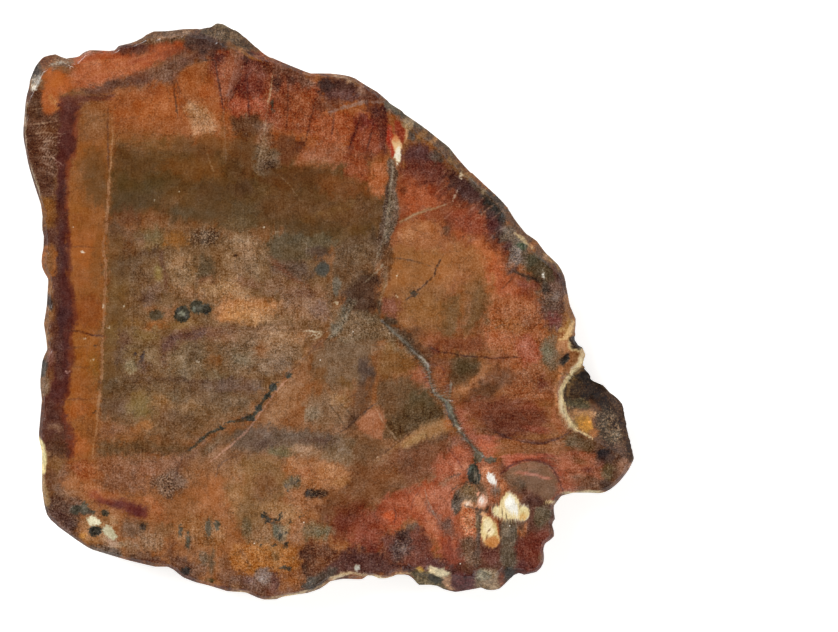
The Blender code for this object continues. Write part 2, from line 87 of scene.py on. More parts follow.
# ------------------------------------------------------------------ the minerals of the face
# Each table is read row by row, and a row that starts with a space goes on from the one above.
# A row starts with its kind: a is an area's outline as x and y, b a blob's middle, half widths
# and turn in degrees, and s a streak's or line's route as x, y and half width.
# MINERALS are soft and are painted in this order: kind, colour, how gritty it is from 0 to 1, how
# much it covers, how far its edge is softened, and the shape, in tenths of a millimetre.
# CHIPS are crisp patches: kind, colour and shape, in hundredths of a millimetre.
# PALE_LINES and DARK_LINES are thin: kind, colour, how much they cover, how deep they are cut in
# millimetres, and the route, in hundredths of a millimetre.
# A cream line on the lower left rim: a painted highlight where the edge catches the light.
# Broken corner of the right with its grainy floor, and painted shade in its deep hollows
# Cream and gold rim of the right; its cream lip is partly the stone's colour and partly a painted highlight
# Crust of the upper left corner and the knob, with a painted highlight on the knob's crest
# Left rim with its knobs, and a cream painted highlight along its lower edge
# Painted highlight along the second lump's top.
# Painted highlight: a lighter patch on the knob's crest.
# Painted highlight: cream along the first lump's top.
# Painted shade in the small deep hollow at the top of the notch.
# Painted shade under the first lump.
# Painted shade: a dark patch in the small deep hollow at the top of the notch.
# Painted shade: near-black brown over the deep hollow under the lip.
# Rind lumps at the foot; cream along their tops is painted highlight, and a dark patch under one is painted shade
# Thin pale lines along the upper left edge: painted highlights on the rim.
MINERALS = """
# Ground of the whole face
a 8A5630 .5 1 14 -228 179 -160 213 -58 222 78 171 197 60 231 -110 197 -246 -109 -254 -245 -178
a 9A5529 .5 1 11 -194 183 -126 205 -24 213 61 171 52 120 -24 137 -84 145 -186 145
a 60421F .35 1 10 -189 140 -92 140 -24 130 48 137 52 60 1 52 -58 72 -109 74 -143 83 -189 76
a 78583A .55 1 14 -191 76 -67 71 10 43 1 -16 -58 -76 -109 -110 -191 -110
a 8C6448 .5 1 14 -143 -118 -75 -110 1 -93 61 -76 112 -110 86 -161 -24 -178 -126 -161
a 965F38 .5 1 14 -228 -135 -118 -135 78 -161 95 -212 1 -246 -126 -229 -220 -186
a 5E3A2E .5 1 5 105 -195 129 -195 163 -161 197 -152 197 -246 95 -246 105 -220
a 70492F .5 1 5 197 -76 231 -76 265 -76 269 -161 197 -161
a 6B4436 .5 1 5 142 -120 197 -118 205 -161 180 -169 146 -152
a 9C5C40 .55 1 5 86 -135 120 -110 146 -127 146 -178 120 -212 95 -212
a 7A4E38 .55 1 5 -87 -223 -24 -220 1 -229 1 -254 -87 -254
# Dark margin at the left, with level striations
a 5C3622 .6 1 2 -267 191 -245 190 -228 181 -225 162 -228 137 -232 111 -235 94 -237 60 -267 52
a 4E301C .5 .8 3 -255 186 -244 185 -244 165 -255 162
s 80563A .6 .8 1 -252 153 0.7 -242 154 1.2 -227 153 0.6
s 7A523C .6 .7 .9 -254 162 0.5 -242 163 0.8 -228 165 0.4
s 8C6450 .7 .7 .9 -245 140 0.5 -237 142 0.8 -232 140 0.4
s 8C6450 .7 .6 .9 -249 136 0.5 -240 137 1 -235 134 0.4
# Ochre band inside the margin
a 93592A .35 1 3 -215 169 -198 174 -184 169 -184 137 -187 103 -188 71 -191 43 -189 9 -192 -25 -193 -59 -196 -84 -198
 -110 -201 -128 -208 -135 -218 -135 -220 -110 -223 -88 -227 -77 -221 -59 -220 -25 -220 18 -223 60 -223 94 -218 128
 -215 145
a 8A5833 .4 1 5 -211 173 -189 176 -187 145 -211 144
b 8C5E3A .5 .7 5 -198 161 10 7 0
a 744B25 .3 .9 5 -210 140 -187 140 -187 89 -201 91 -211 111
b 704C2A .3 .8 5 -196 108 8 15 0
s 84542C .35 .8 3 -213 128 2 -211 107 3 -208 90 3
a 985F2C .3 .8 5 -221 94 -206 89 -203 73 -220 72
b 8E4F22 .3 .7 3 -211 79 8 3 0
a 9E5C2B .3 .9 5 -220 72 -196 72 -201 60 -204 33 -216 35
b A5612E .3 .8 5 -211 47 7 8 0
a 8A5528 .3 .9 3 -201 62 -193 64 -193 16 -201 16 -203 42
b 9C5B2D .3 .8 5 -211 25 8 8 0
a 884A1E .35 .9 3 -216 13 -194 16 -193 -14 -216 -14
a 93561F .35 .9 3 -218 -18 -196 -19 -195 -50 -216 -53
b 9A6130 .4 .7 3 -206 -26 7 4 0
b 88602F .35 .8 3 -199 -47 4 10 0
a 9B5A29 .35 .9 5 -220 -52 -204 -52 -203 -72 -220 -74
a A05A2A .4 .9 3 -225 -77 -201 -77 -201 -93 -220 -96
a 8E5628 .45 .9 3 -213 -87 -198 -84 -200 -106 -211 -104
a AC6130 .4 .9 3 -219 -103 -204 -104 -204 -123 -215 -128
s 7E4A22 .4 .6 2 -208 -93 2 -203 -101 2 -201 -111 1.3
# Maroon band
a 52241E .35 1 2 -231 181 -223 183 -213 179 -211 173 -214 168 -215 156 -215 145 -215 135 -220 128 -222 118 -224 103
 -223 89 -221 72 -221 55 -221 42 -220 23 -216 15 -216 1 -215 -6 -216 -13 -221 -25 -219 -35 -220 -50 -220 -62 -222
 -70 -227 -79 -225 -89 -233 -96 -242 -84 -244 -71 -235 -59 -232 -33 -230 -8 -230 18 -231 42 -232 60 -230 82 -232 98
 -230 120 -230 145 -228 164 -232 174
a 5A2A20 .35 .9 2 -228 169 -216 169 -215 154 -223 151 -228 157
a 68332A .4 .9 2 -231 181 -223 183 -213 179 -211 174 -223 169 -230 176
s 7E3B1E .3 .9 1 -214 169 1.2 -215 154 2 -216 147 1.4
s 7A3A1E .3 .8 1 -216 135 1.4 -221 123 2 -222 106 1.4 -222 86 1
s 6A311C .3 .8 1 -221 76 1.4 -220 52 1.5 -220 23 1.5 -216 9 1.5 -215 -6 2
s 6A311C .3 .8 1 -218 -16 1.2 -219 -38 2 -220 -62 1.5 -224 -74 1.3
a 4A2A28 .35 .7 3 -230 106 -225 103 -227 69 -225 42 -228 9 -223 -16 -230 -33 -232 9 -232 60
a 48282A .35 .7 3 -228 9 -218 -1 -223 -18 -230 -16
a 5A3628 .4 .8 2 -237 -21 -230 -23 -230 -35 -237 -33
# Foot of the maroon band
a 5C3428 .4 1 3 -247 -72 -233 -74 -223 -86 -220 -103 -216 -123 -220 -128 -227 -120 -237 -118 -247 -115
a 4C2A24 .4 .8 3 -242 -77 -230 -79 -228 -93 -238 -96
s 6E3220 .35 .9 2 -225 -87 2 -219 -106 2 -217 -123 2
b 8A6248 .5 .9 2 -232 -99 5 3 0
a 5A3824 .5 .9 3 -240 -106 -223 -108 -223 -123 -238 -125
b 8C6440 .5 .9 3 -230 -130 6 5 0
a 6C452E .45 .9 3 -244 -133 -233 -133 -230 -147 -237 -154 -244 -149
a 8C6048 .55 .8 3 -230 -135 -220 -133 -221 -147 -228 -149
a 75594A .6 .9 3 -237 -147 -223 -149 -218 -161 -232 -164
s A07A60 .6 .7 1 -232 -142 0.8 -227 -135 1 -220 -130 0.8
# Dark rind at the lower left
a 5E4032 .65 1 3 -245 -157 -223 -159 -213 -164 -211 -174 -215 -186 -208 -200 -228 -191 -242 -176
a 523630 .6 .8 2 -240 -171 -227 -167 -218 -179 -220 -189 -233 -184
b 7A5A50 .6 .7 2 -227 -184 6 3 -30
a 7E5C4A .7 .9 3 -223 -157 -208 -161 -211 -169 -221 -166
a 4A403A .6 .9 1 -218 -164 -203 -167 -201 -172 -215 -172
s 846050 .6 .6 .9 -237 -172 0.7 -228 -181 0.7 -218 -189 0.5
# Left rind knobs
a 85592F .5 1 1 -245 98 -238 97 -233 93 -231 84 -232 76 -237 69 -242 70 -247 76 -247 89
a 94582A .4 1 1 -245 54 -240 56 -233 54 -231 45 -230 37 -232 28 -239 26 -244 33 -249 42
a 3E2C26 .5 .9 2 -242 13 -235 15 -233 4 -238 -1 -244 3
a 9A6C46 .6 1 1 -244 4 -237 4 -235 -6 -238 -16 -242 -23 -246 -16 -247 -6
s 9E8468 .6 .8 1 -241 -18 1 -240 -26 1.2 -238 -33 0.8
a 5A3226 .45 .8 2 -238 -6 -232 -9 -233 -21 -238 -19
b 78503A .6 1 1 -240 -64 5 8 0
# Corner at the upper left
a B25D29 .35 1 3 -244 203 -232 206 -220 202 -215 193 -220 186 -230 182 -242 186
a B06030 .4 1 2 -244 190 -232 188 -229 176 -230 168 -240 166 -244 176
b BE6A2C .35 .7 3 -232 196 7 5 0
s D09A60 .4 .8 .9 -237 183 0.6 -233 178 0.8 -230 172 0.5
# Orange and rose top
a B1613A .45 1 3 -220 212 -201 218 -177 219 -152 215 -150 207 -169 200 -191 193 -211 188 -218 193
a A5502A .4 .9 3 -216 215 -203 220 -179 222 -164 219 -165 213 -194 213 -213 210
b B26A46 .5 .7 5 -194 207 15 4 4
b B26C4A .5 .7 5 -179 202 8 4 14
a 9A4E30 .4 .9 3 -174 217 -143 222 -121 227 -116 222 -143 212 -170 207
b AC5634 .4 .7 3 -152 213 14 3 16
a 8C4426 .4 .9 2 -159 227 -135 230 -118 229 -119 220 -152 217
s B25A30 .4 .7 2 -152 219 2 -135 225 2 -123 227 2
a 67392B .5 .9 2 -184 227 -159 228 -150 229 -152 222 -165 218 -181 220
s 54302A .5 .8 1 -179 226 1 -164 225 2 -153 227 1.2
b C49080 .5 .8 .9 -205 219 4 2 20
s CC8458 .45 .5 .9 -169 208 0.6 -157 212 0.8 -143 215 0.5
# Crust on the top edge
a 705038 .7 1 1 -160 229 -152 237 -135 239 -118 241 -116 236 -130 230 -145 229 -155 225
s 9A7458 .7 .8 1 -155 230 1 -143 234 1.4 -130 236 1.4 -119 238 1
s C49A80 .7 .7 .7 -147 232 0.6 -136 233 0.8 -123 235 0.6
# Dusky band
a 704838 .5 1 3 -208 188 -196 191 -187 195 -176 197 -160 203 -145 208 -133 215 -118 222 -104 222 -99 217 -106 213
 -118 212 -125 203 -130 196 -143 196 -152 193 -165 193 -179 191 -184 185 -196 183 -208 184
a 5E3E30 .5 .8 2 -191 193 -176 197 -165 196 -176 191 -187 190
a 7C5640 .6 .8 3 -155 205 -133 212 -123 215 -126 203 -143 196 -153 198
s 966A50 .6 .5 1 -143 208 0.8 -128 215 1.2 -109 222 0.8
s 58382A .5 .6 2 -135 208 1.3 -123 210 1.5 -106 213 1
a 6A3A2C .4 .9 1 -232 181 -216 183 -198 182 -182 184 -182 180 -196 179 -211 178 -223 177
a 643C34 .4 .7 2 -227 179 -210 179 -210 171 -225 169
# Purple shoulder at the top
a 493029 .45 1 3 -121 236 -109 239 -97 237 -91 229 -84 220 -82 213 -91 212 -97 217 -106 220 -118 222 -123 227
a 5A4238 .45 .8 3 -121 234 -111 236 -113 225 -121 225
s 6A4A40 .5 .6 1 -118 225 0.8 -102 224 1.4 -91 219 0.8
# Orange field under the dusky band
a A25A2C .5 1 5 -182 179 -152 186 -130 186 -126 166 -152 159 -182 159
a 8A4B22 .5 .7 3 -182 181 -164 182 -165 171 -181 168
b AC6434 .5 .7 5 -152 168 14 5 0
b 8E4A26 .45 .6 3 -148 186 12 3 0
a 9A5A30 .5 .9 5 -182 164 -126 164 -119 151 -152 147 -182 149
s 7A5024 .4 .8 5 -184 145 3 -152 145 3 -126 147 3
a 8A5328 .4 .8 5 -182 156 -135 154 -135 145 -182 145
a 96552A .5 1 3 -125 205 -111 212 -97 212 -93 196 -91 176 -109 174 -125 179
b A55F32 .5 .8 3 -118 191 7 8 0
b 8A4C24 .45 .8 3 -109 202 10 4 10
b A2572A .5 .8 3 -102 186 8 8 0
a AE7146 .65 1 3 -123 178 -106 176 -94 166 -95 156 -102 149 -113 149 -119 161
b B8825A .7 .7 3 -116 171 7 5 -40
b BC8660 .7 .7 3 -104 156 8 5 30
a 7E5028 .4 .9 3 -113 149 -87 151 -85 137 -109 139
# Olive field at the upper left
a 5C3B18 .35 .9 5 -184 140 -167 144 -164 128 -182 123
b 644628 .35 .7 5 -160 137 10 5 0
b 7A5630 .35 .8 5 -145 142 12 5 0
a 745030 .35 .9 5 -130 147 -109 147 -109 134 -130 132
b 6E431E .35 .8 5 -104 135 10 7 0
a 60401E .3 .9 6 -184 128 -152 130 -147 118 -184 115
a 6E451B .35 1 5 -145 128 -118 130 -92 128 -91 115 -109 108 -130 113 -143 115
b 784C20 .35 .7 5 -113 122 12 5 0
a 57401F .3 1 6 -184 115 -143 115 -130 110 -152 98 -184 98
a 594228 .3 1 6 -184 103 -143 101 -130 94 -143 84 -184 77
b 63492C .35 .7 5 -136 98 10 5 0
s 75502F .4 .8 3 -160 83 2 -143 88 3 -125 98 2
a 5C4024 .3 .9 5 -118 110 -87 110 -84 94 -113 94
a 61472C .3 .9 5 -130 93 -87 93 -82 79 -113 76 -133 84
b 5B4A34 .35 .7 5 -125 83 12 4 0
# Brown column beside the vein
a 70502F .4 1 3 -188 76 -174 76 -172 43 -170 9 -174 -25 -176 -76 -194 -93 -194 -59 -191 -25 -188 18 -190 52
b 654530 .4 .7 5 -181 69 8 10 0
b 7A5536 .4 .7 5 -182 50 5 7 0
b 66482E .4 .7 5 -177 37 6 7 0
b 7A5831 .4 .8 5 -181 15 7 10 0
b 7C5B31 .4 .8 5 -180 -18 7 7 0
b 80603A .4 .6 3 -186 -33 3 7 0
# Mottled middle left
b 70442A .47 .9 5 -169 81 8 6 0
b 7E5030 .52 .9 5 -147 80 9 5 8
b 6B4A34 .47 .8 5 -165 64 8 7 0
b 6C4526 .52 .8 3 -171 54 4 7 0
b 76603E .52 .9 5 -152 64 9 6 0
b 84663E .52 .9 3 -149 56 8 3 0
b 5E4636 .57 .8 3 -155 50 12 3 0
b 93602E .42 1 3 -130 62 8 7 0
a 69513C .87 1 3 -118 71 -91 69 -92 57 -106 55 -118 59
b 60462F .47 .9 5 -169 41 8 6 0
a 6E5138 .67 .9 3 -170 37 -155 37 -152 25 -167 23
b 8C7440 .47 .9 2 -145 33 3 6 0
b 806250 .62 .9 3 -147 19 8 5 0
b 654A40 .57 .7 3 -155 11 8 4 0
s 6A4638 .57 .7 1 -142 52 0.8 -142 42 1.4 -139 28 1.4 -138 16 0.8
a 8C6C4C .72 1 3 -136 49 -118 49 -111 38 -113 23 -128 18 -136 30
b 986E4A .72 .7 3 -126 42 8 5 0
b 7A5C40 .67 .6 3 -126 28 6 4 0
a 5E4930 .52 1 3 -113 47 -99 47 -97 33 -102 26 -111 32
b 6E3A24 .52 .6 3 -103 26 7 3 0
b 9A7250 .72 .9 5 -125 17 12 5 0
b A47858 .72 .8 5 -111 13 10 4 0
b A8805A .72 .9 5 -96 18 9 6 0
# Round the pitted rings
b 966644 .57 .8 3 -152 3 6 3 0
b 916545 .57 .9 3 -136 -1 8 5 0
b 865C2C .52 .8 3 -165 -9 8 3 0
b 945828 .47 1 3 -148 -11 7 3 0
b 8C6A40 .57 .8 3 -126 -11 10 3 0
b B2774C .57 1 5 -87 -2 10 6 0
a 6B4A38 .57 .9 3 -179 -16 -167 -18 -169 -31 -179 -35
b 84683E .57 .9 5 -155 -21 10 5 0
b 7E6140 .57 .8 5 -165 -35 8 7 0
b 8A7054 .62 .9 5 -151 -40 8 8 0
b 6A4E44 .57 .8 3 -158 -47 5 6 0
b 8C7A5A .77 .8 3 -167 -48 6 6 0
b 5E4638 .57 .7 3 -179 -42 5 7 0
# Arched bands of the middle left
a 69493E .57 1 3 -143 -31 -138 -21 -126 -16 -106 -14 -84 -13 -79 -19 -97 -23 -118 -23 -131 -30 -135 -40 -136 -48
 -143 -45
s 583C36 .57 .6 1 -141 -33 0.8 -133 -23 1.2 -118 -19 1.2 -97 -19 0.8
s 94705A .57 .5 1 -133 -18 0.8 -118 -14 1 -101 -13 0.8
a 7D644A .62 1 3 -133 -33 -125 -26 -109 -23 -104 -33 -106 -52 -121 -59 -135 -55 -136 -45
b 6C5440 .57 .7 3 -114 -33 4 7 0
b 8A7054 .62 .7 3 -123 -43 8 7 0
b 80522A .47 1 3 -97 -42 5 5 0
b 7C654A .62 .9 3 -96 -53 10 4 0
s 5C4234 .57 .8 2 -174 -57 1.3 -152 -59 2 -126 -59 1.4 -97 -60 1.4 -79 -59 1
a 6A5038 .57 .9 5 -189 -59 -165 -55 -160 -69 -187 -74
b 765A40 .57 .9 5 -150 -65 12 4 0
b 6E5240 .57 .8 5 -104 -64 19 3 0
b 8C6E46 .57 .9 5 -159 -74 10 5 0
b 80664A .57 .9 5 -133 -72 12 4 0
b 7A604A .57 .9 5 -106 -74 17 5 0
# Lower left
a 6C4D36 .52 1 5 -193 -74 -172 -74 -169 -89 -191 -94
b 846A40 .47 1 5 -160 -82 9 8 0
b 9A7048 .57 1 5 -142 -78 8 6 0
b 7A5A3E .57 .9 5 -179 -91 8 4 0
b 8A6A44 .57 .7 3 -145 -89 8 4 0
b A26A3A .47 1 3 -156 -97 5 4 0
b 905A30 .47 .9 3 -165 -101 8 4 0
b 986A50 .57 .9 3 -182 -101 10 4 0
b 80583C .57 .8 5 -138 -91 7 7 0
b 725238 .57 .9 5 -125 -94 12 6 0
b 6A4C34 .57 .8 5 -136 -106 10 5 0
a 6A4A2C .52 1 3 -196 -111 -177 -106 -152 -110 -118 -113 -113 -120 -143 -122 -177 -121 -196 -123
s 5C4024 .47 .7 3 -186 -118 2 -160 -117 2 -126 -119 2
b 925E34 .52 .8 3 -172 -108 8 3 0
a 8C5C40 .62 1 5 -196 -125 -169 -123 -121 -121 -123 -140 -160 -140 -196 -142
b 90684E .62 .9 5 -159 -127 12 3 0
b 96644A .62 .8 5 -153 -135 10 4 0
b 906852 .62 .9 5 -136 -128 12 5 0
a 845840 .62 .9 5 -198 -140 -169 -138 -152 -144 -152 -155 -181 -154 -196 -149
b A07058 .67 .8 3 -150 -140 5 7 0
a 745440 .87 1 3 -148 -138 -133 -135 -123 -140 -121 -154 -136 -159 -148 -154
b 80604C .57 .8 3 -125 -147 6 7 0
a 95694A .57 1 3 -126 -137 -109 -123 -96 -115 -87 -118 -106 -133 -118 -145
s 7A5038 .57 .8 2 -128 -138 1.3 -121 -128 2 -113 -120 2
s 74583E .52 .9 3 -106 -120 2 -91 -110 3 -75 -101 3
s 6E4E38 .57 .6 1 -109 -128 0.8 -96 -116 1.2 -82 -108 0.8
# Orange foot of the ochre band
a 96552E .6 1 3 -218 -128 -198 -127 -196 -142 -208 -145 -218 -140
b A66A42 .5 .9 3 -218 -145 7 6 0
b 8E4A28 .6 .7 3 -215 -133 6 4 0
b A86A42 .55 .9 3 -204 -149 8 5 0
b 946A4E .6 .9 3 -221 -155 7 3 0
a A4623C .5 1 3 -208 -150 -184 -152 -177 -159 -191 -159 -206 -159
a 66302A .35 1 2 -198 -159 -187 -159 -174 -162 -162 -164 -152 -169 -152 -176 -162 -176 -170 -171 -184 -166 -196 -163
s 8A4028 .4 .7 2 -201 -155 1.3 -194 -159 2 -184 -161 1.3
b 5A2426 .3 .7 2 -165 -171 6 4 0
a A8653C .5 1 3 -160 -159 -143 -161 -140 -174 -150 -172 -155 -166
a 986038 .5 .9 3 -191 -166 -172 -169 -169 -179 -184 -181
a 765640 .55 .9 3 -177 -178 -155 -179 -155 -191 -176 -193
b 5E4024 .5 .9 2 -157 -183 4 3 0
b 90542C .5 .9 3 -145 -178 7 4 0
b 7E5838 .5 .9 3 -140 -188 7 5 0
a 94603A .45 1 5 -140 -161 -113 -154 -104 -161 -113 -174 -133 -178
a A66A42 .45 1 5 -113 -149 -97 -140 -75 -144 -67 -161 -82 -174 -104 -171
b A27452 .5 .8 5 -85 -135 10 4 0
# Speckled foot at the left
a 9A683F .67 .9 3 -133 -176 -104 -174 -87 -181 -87 -201 -109 -201 -130 -198
b 6E4C34 .67 .8 3 -118 -199 4 8 0
b 70543A .67 .8 3 -102 -186 3 8 0
b 7A6450 .67 .9 3 -105 -210 6 7 0
b 5C4832 .62 .9 3 -99 -214 3 7 0
b 80583E .67 .8 3 -87 -213 7 6 0
a 987458 .77 .9 3 -164 -188 -142 -188 -138 -201 -159 -205
b 8A6C54 .72 .8 3 -167 -200 8 5 0
b A28464 .77 .8 3 -177 -198 6 4 0
a 6A5446 .67 1 2 -203 -198 -184 -200 -174 -206 -186 -212 -201 -206
a B0907A .77 .9 2 -193 -188 -181 -191 -176 -198 -184 -201 -191 -196
a 9C6844 .62 1 2 -213 -178 -203 -172 -196 -178 -203 -184 -201 -195 -211 -193
b C88A3C .57 .7 1 -208 -191 3 3 0
b A8784E .67 .9 2 -201 -195 6 3 0
a 694C3C .62 .9 3 -172 -205 -152 -205 -140 -212 -152 -220 -167 -213
b 6C442C .57 .9 3 -133 -201 4 8 0
a 63402F .62 .9 3 -138 -208 -118 -210 -109 -222 -113 -235 -130 -223
b 8F6C59 .67 .9 3 -109 -218 7 4 0
b 3A3418 .47 .9 1 -99 -229 3 2 0
a 7A5038 .57 .9 3 -96 -218 -72 -217 -67 -232 -87 -237 -94 -232
s 5C302A .52 .8 1 -96 -234 1.2 -79 -237 1.4 -67 -237 1.2
s 54302A .52 .7 1 -169 -212 1.2 -143 -213 1.2 -118 -227 1.4 -109 -234 1
# Red top with upright dark fibres
a 8C4628 .67 1 3 -99 219 -82 225 -57 217 -24 202 -7 193 -6 162 -16 151 -41 154 -57 162 -85 164 -96 188
a 6E2E18 .62 .9 3 -102 219 -87 219 -85 207 -94 198 -101 205
b 4E221A .57 .8 2 -91 215 7 3 -20
a 9A5638 .62 1 3 -94 208 -87 213 -75 224 -72 219 -77 200 -82 185 -87 173 -92 179 -94 193
s 7C4C3C .57 .9 1 -72 217 1.3 -77 202 2 -83 186 2 -86 176 1
a 6A3428 .67 .9 3 -72 219 -57 215 -55 205 -65 200 -74 205
b 40201C .57 .9 2 -68 216 5 4 0
a 6A3A24 .67 .9 3 -57 215 -38 208 -26 203 -31 196 -48 200 -57 205
a 6C2E1E .62 .9 3 -79 202 -57 202 -55 183 -67 181 -80 185
b 70392C .62 .8 3 -57 196 4 10 0
b 8A4A34 .62 .7 2 -63 198 5 3 0
a A2543A .67 1 3 -84 181 -68 183 -55 181 -51 169 -65 164 -82 168 -87 173
b 8C4626 .67 .8 3 -69 169 12 3 0
a 4E281A .67 .9 2 -48 200 -38 198 -40 186 -46 186
a 8C4A2A .67 .9 3 -45 188 -29 190 -9 185 -11 162 -28 151 -41 154
b 98522E .67 .8 3 -24 176 8 10 0
b 783C24 .67 .7 3 -28 188 7 3 0
a 765040 .67 .9 2 -26 202 -14 198 -12 190 -24 190
b 4E2A1C .62 .8 2 -31 196 6 3 0
b 98522E .62 .8 3 -31 161 7 5 0
# Speckled grey wedge under the red
a 634028 .55 1 3 -85 164 -72 168 -57 164 -55 149 -68 147 -84 151
a 68411E .4 1 4 -87 152 -67 151 -60 142 -62 125 -67 113 -85 113
b 5A3A18 .4 .8 3 -79 123 8 7 0
b 85562E .45 .8 3 -89 149 3 14 0
a 7A5138 .7 .9 3 -60 161 -48 162 -45 145 -51 137 -62 139
b 8C6A4C .7 .8 2 -55 143 3 6 0
a 6A5038 .7 1 3 -65 140 -41 142 -40 128 -48 115 -62 115 -62 128
b 584030 .7 .7 3 -51 125 7 5 0
a 6B3B1C .45 1 3 -43 152 -24 147 -19 140 -29 128 -40 122 -45 137
b 5E2E12 .4 .9 2 -24 140 6 4 30
a 9E5E3E .55 1 3 -28 128 -21 139 -6 145 15 145 17 128 10 122 -14 122 -33 122
# Red field at the top
a A2552F .62 1 3 -9 166 1 169 20 169 22 156 18 144 1 140 -11 144 -14 152
b 984E28 .62 .8 3 -4 154 7 5 0
a 8A4226 .62 1 3 20 169 37 168 49 159 49 137 37 130 23 128 18 137 22 152
b 702A20 .57 .8 3 32 161 8 5 0
a 5E2818 .57 .9 3 39 174 51 169 51 137 45 130 44 151 37 162
s 6A2C18 .57 .9 2 27 166 1.3 23 154 2 18 140 2 15 130 1.4
a 8E4A2A .57 1 3 15 135 32 134 37 123 34 110 22 108 13 115
b 6A3820 .57 .8 3 34 132 6 4 0
a AC643C .57 1 3 42 130 49 128 51 111 51 98 40 96 30 103 34 113
# Dark cap at the top
a 4E2C22 .5 1 3 -11 196 1 200 22 196 28 188 22 181 6 181 -6 181
b 3A201A .45 .9 3 0 191 8 5 0
a 66403A .55 .9 3 -4 186 18 188 32 183 20 178 1 176
a 5E3A30 .55 .9 3 27 193 42 188 49 178 37 176 27 179
b 9A7462 .55 .8 1 28 187 3 4 0
s B08C70 .55 .8 1 5 201 0.8 15 198 1.4 23 193 1
a 6E3E28 .55 .9 3 -11 181 5 179 13 174 1 169 -11 168
b 4A221C .5 .9 3 42 171 8 4 -20
# Brown and olive belt across the middle
a 623C1A .35 1 5 -60 117 -33 123 -6 123 11 117 11 105 -24 101 -57 105
b 58360E .35 .7 3 -24 108 15 3 0
a 73451F .4 1 5 -9 115 20 117 32 106 47 96 23 93 -7 94
b 7C4C2A .4 .8 3 18 103 8 5 0
b 7C5A38 .5 .9 3 -55 103 4 4 0
a 56391F .35 1 3 -85 111 -65 113 -62 98 -80 94
a 674526 .4 1 5 -60 100 -24 100 18 94 47 91 47 76 10 72 -33 76 -60 79
a 5C462C .4 1 5 -85 93 -62 94 -57 79 -75 76 -87 79
b 6E4B30 .5 .8 5 32 89 12 6 0
s 7C5A30 .35 .6 3 -24 77 1.3 -4 83 2 20 91 2
b 5C432A .35 .8 5 -17 72 26 5 0
b 785838 .4 .9 3 16 68 6 3 30
a 675034 .45 .9 3 -94 77 -65 81 -57 71 -75 67 -92 69
# Grey green belt
a 61503A .45 1 3 -55 64 -24 67 10 64 6 55 -9 47 -23 42 -36 42 -51 47
b 746049 .7 .8 2 -19 54 3 8 0
b 6C5C44 .5 .9 3 -4 60 10 3 0
b 564034 .4 .9 3 -9 50 8 5 0
a 6A5142 .6 .9 3 -50 45 -24 42 -9 30 -24 26 -45 30
s 7A4630 .5 .7 1 -51 47 1 -41 37 1.4 -28 26 1.2 -16 22 0.8
# Brown wedge right of the belt
a 6C5038 .45 1 4 6 60 20 66 40 66 44 50 37 38 18 35 6 42
b 523E2E .5 .8 3 39 64 4 7 0
# Creamy patch at the middle
a 8E6E50 .67 1 4 -85 64 -65 67 -57 57 -53 42 -57 30 -75 26 -91 30 -91 49
b 98765A .67 .8 3 -70 49 8 8 0
b 84644A .62 .7 3 -74 35 10 4 0
a A47C58 .77 1 4 -96 25 -75 25 -67 16 -57 11 -75 8 -96 9
b 88604A .67 .8 3 -68 23 10 4 0
b 805E46 .67 .9 3 -46 21 9 8 0
a B27A50 .67 1 4 -96 9 -67 11 -40 9 -38 -1 -60 -2 -96 -2
b C08450 .62 .9 3 -80 -3 8 4 0
b AC825C .67 .9 3 -62 -5 8 4 0
b A47E5E .67 .8 3 -46 -8 8 3 0
a 89644A .67 1 5 -40 25 -9 21 3 6 1 -6 -24 -9 -38 -4
b 785442 .67 .8 3 -21 16 10 4 0
b 86685A .67 .8 3 -6 1 8 7 0
b 9A7150 .67 .8 3 -29 -2 8 4 0
# Dark triangle at the core
a 4E3424 .5 1 3 18 30 34 33 44 33 45 18 40 4 32 -6 20 -1 13 4 10 11
s 6A6254 .7 .9 2 18 9 1.3 11 -1 3 6 -9 3 3 -18 2
a 5E4A34 .5 .9 3 32 1 47 -4 54 -11 42 -13 30 -9
# Layered middle
a 7A5A46 .62 1 5 -97 -14 -75 -13 -41 -13 -12 -14 -24 -25 -57 -23 -97 -23
b 86684E .67 .8 3 -70 -19 8 3 0
b 9A7A5C .67 .8 3 -38 -19 10 3 0
a 866A52 .72 1 5 -87 -25 -57 -23 -29 -26 -24 -38 -41 -53 -75 -53 -89 -47
b 826E56 .67 .9 3 -75 -40 10 7 0
b 8C5C38 .57 1 3 -57 -33 5 6 0
b A67C5A .67 .6 3 -50 -28 5 3 0
b 8E7460 .67 .9 3 -40 -45 8 6 0
a 725646 .52 1 3 -97 -59 -67 -59 -50 -64 -57 -70 -75 -70 -97 -69
a 78604A .57 .9 3 -96 -70 -62 -72 -68 -84 -94 -86
b 8C6C50 .62 .8 3 -79 -86 12 3 0
s 6A4E3E .57 .8 2 -97 -59 1 -75 -58 1.4 -57 -60 1
# Pinkish slope beside the druse line
a 9C6E4C .55 1 3 -45 -65 -33 -55 -21 -47 -14 -53 -24 -72 -40 -93 -55 -103 -60 -96
b A87B58 .55 .8 3 -45 -87 7 6 40
b 8A5A38 .5 .8 3 -24 -55 5 7 -30
s A87C58 .5 .7 1 -28 -47 1 -19 -35 1.4 -12 -26 1
b A57452 .55 .7 3 -24 -23 7 4 30
b 7A4A2C .5 .9 2 -9 -28 7 3 30
# Grey brown field under the core
a 7C6048 .5 1 5 -12 -31 10 -19 27 -16 44 -21 42 -36 32 -52 18 -67 1 -69 -16 -55
b 82664E .5 .8 4 30 -33 8 7 50
b 7A5230 .4 1 3 -6 -51 5 5 0
b 744A24 .4 1 3 -9 -59 3 4 0
b 58443A .4 1 3 33 -50 6 10 30
b 5E483C .4 .7 3 30 -64 5 7 20
b 714D26 .4 .9 3 14 -62 5 4 -40
a 8A6A50 .55 1 5 -21 -70 1 -67 18 -72 22 -84 10 -96 -11 -101 -24 -89
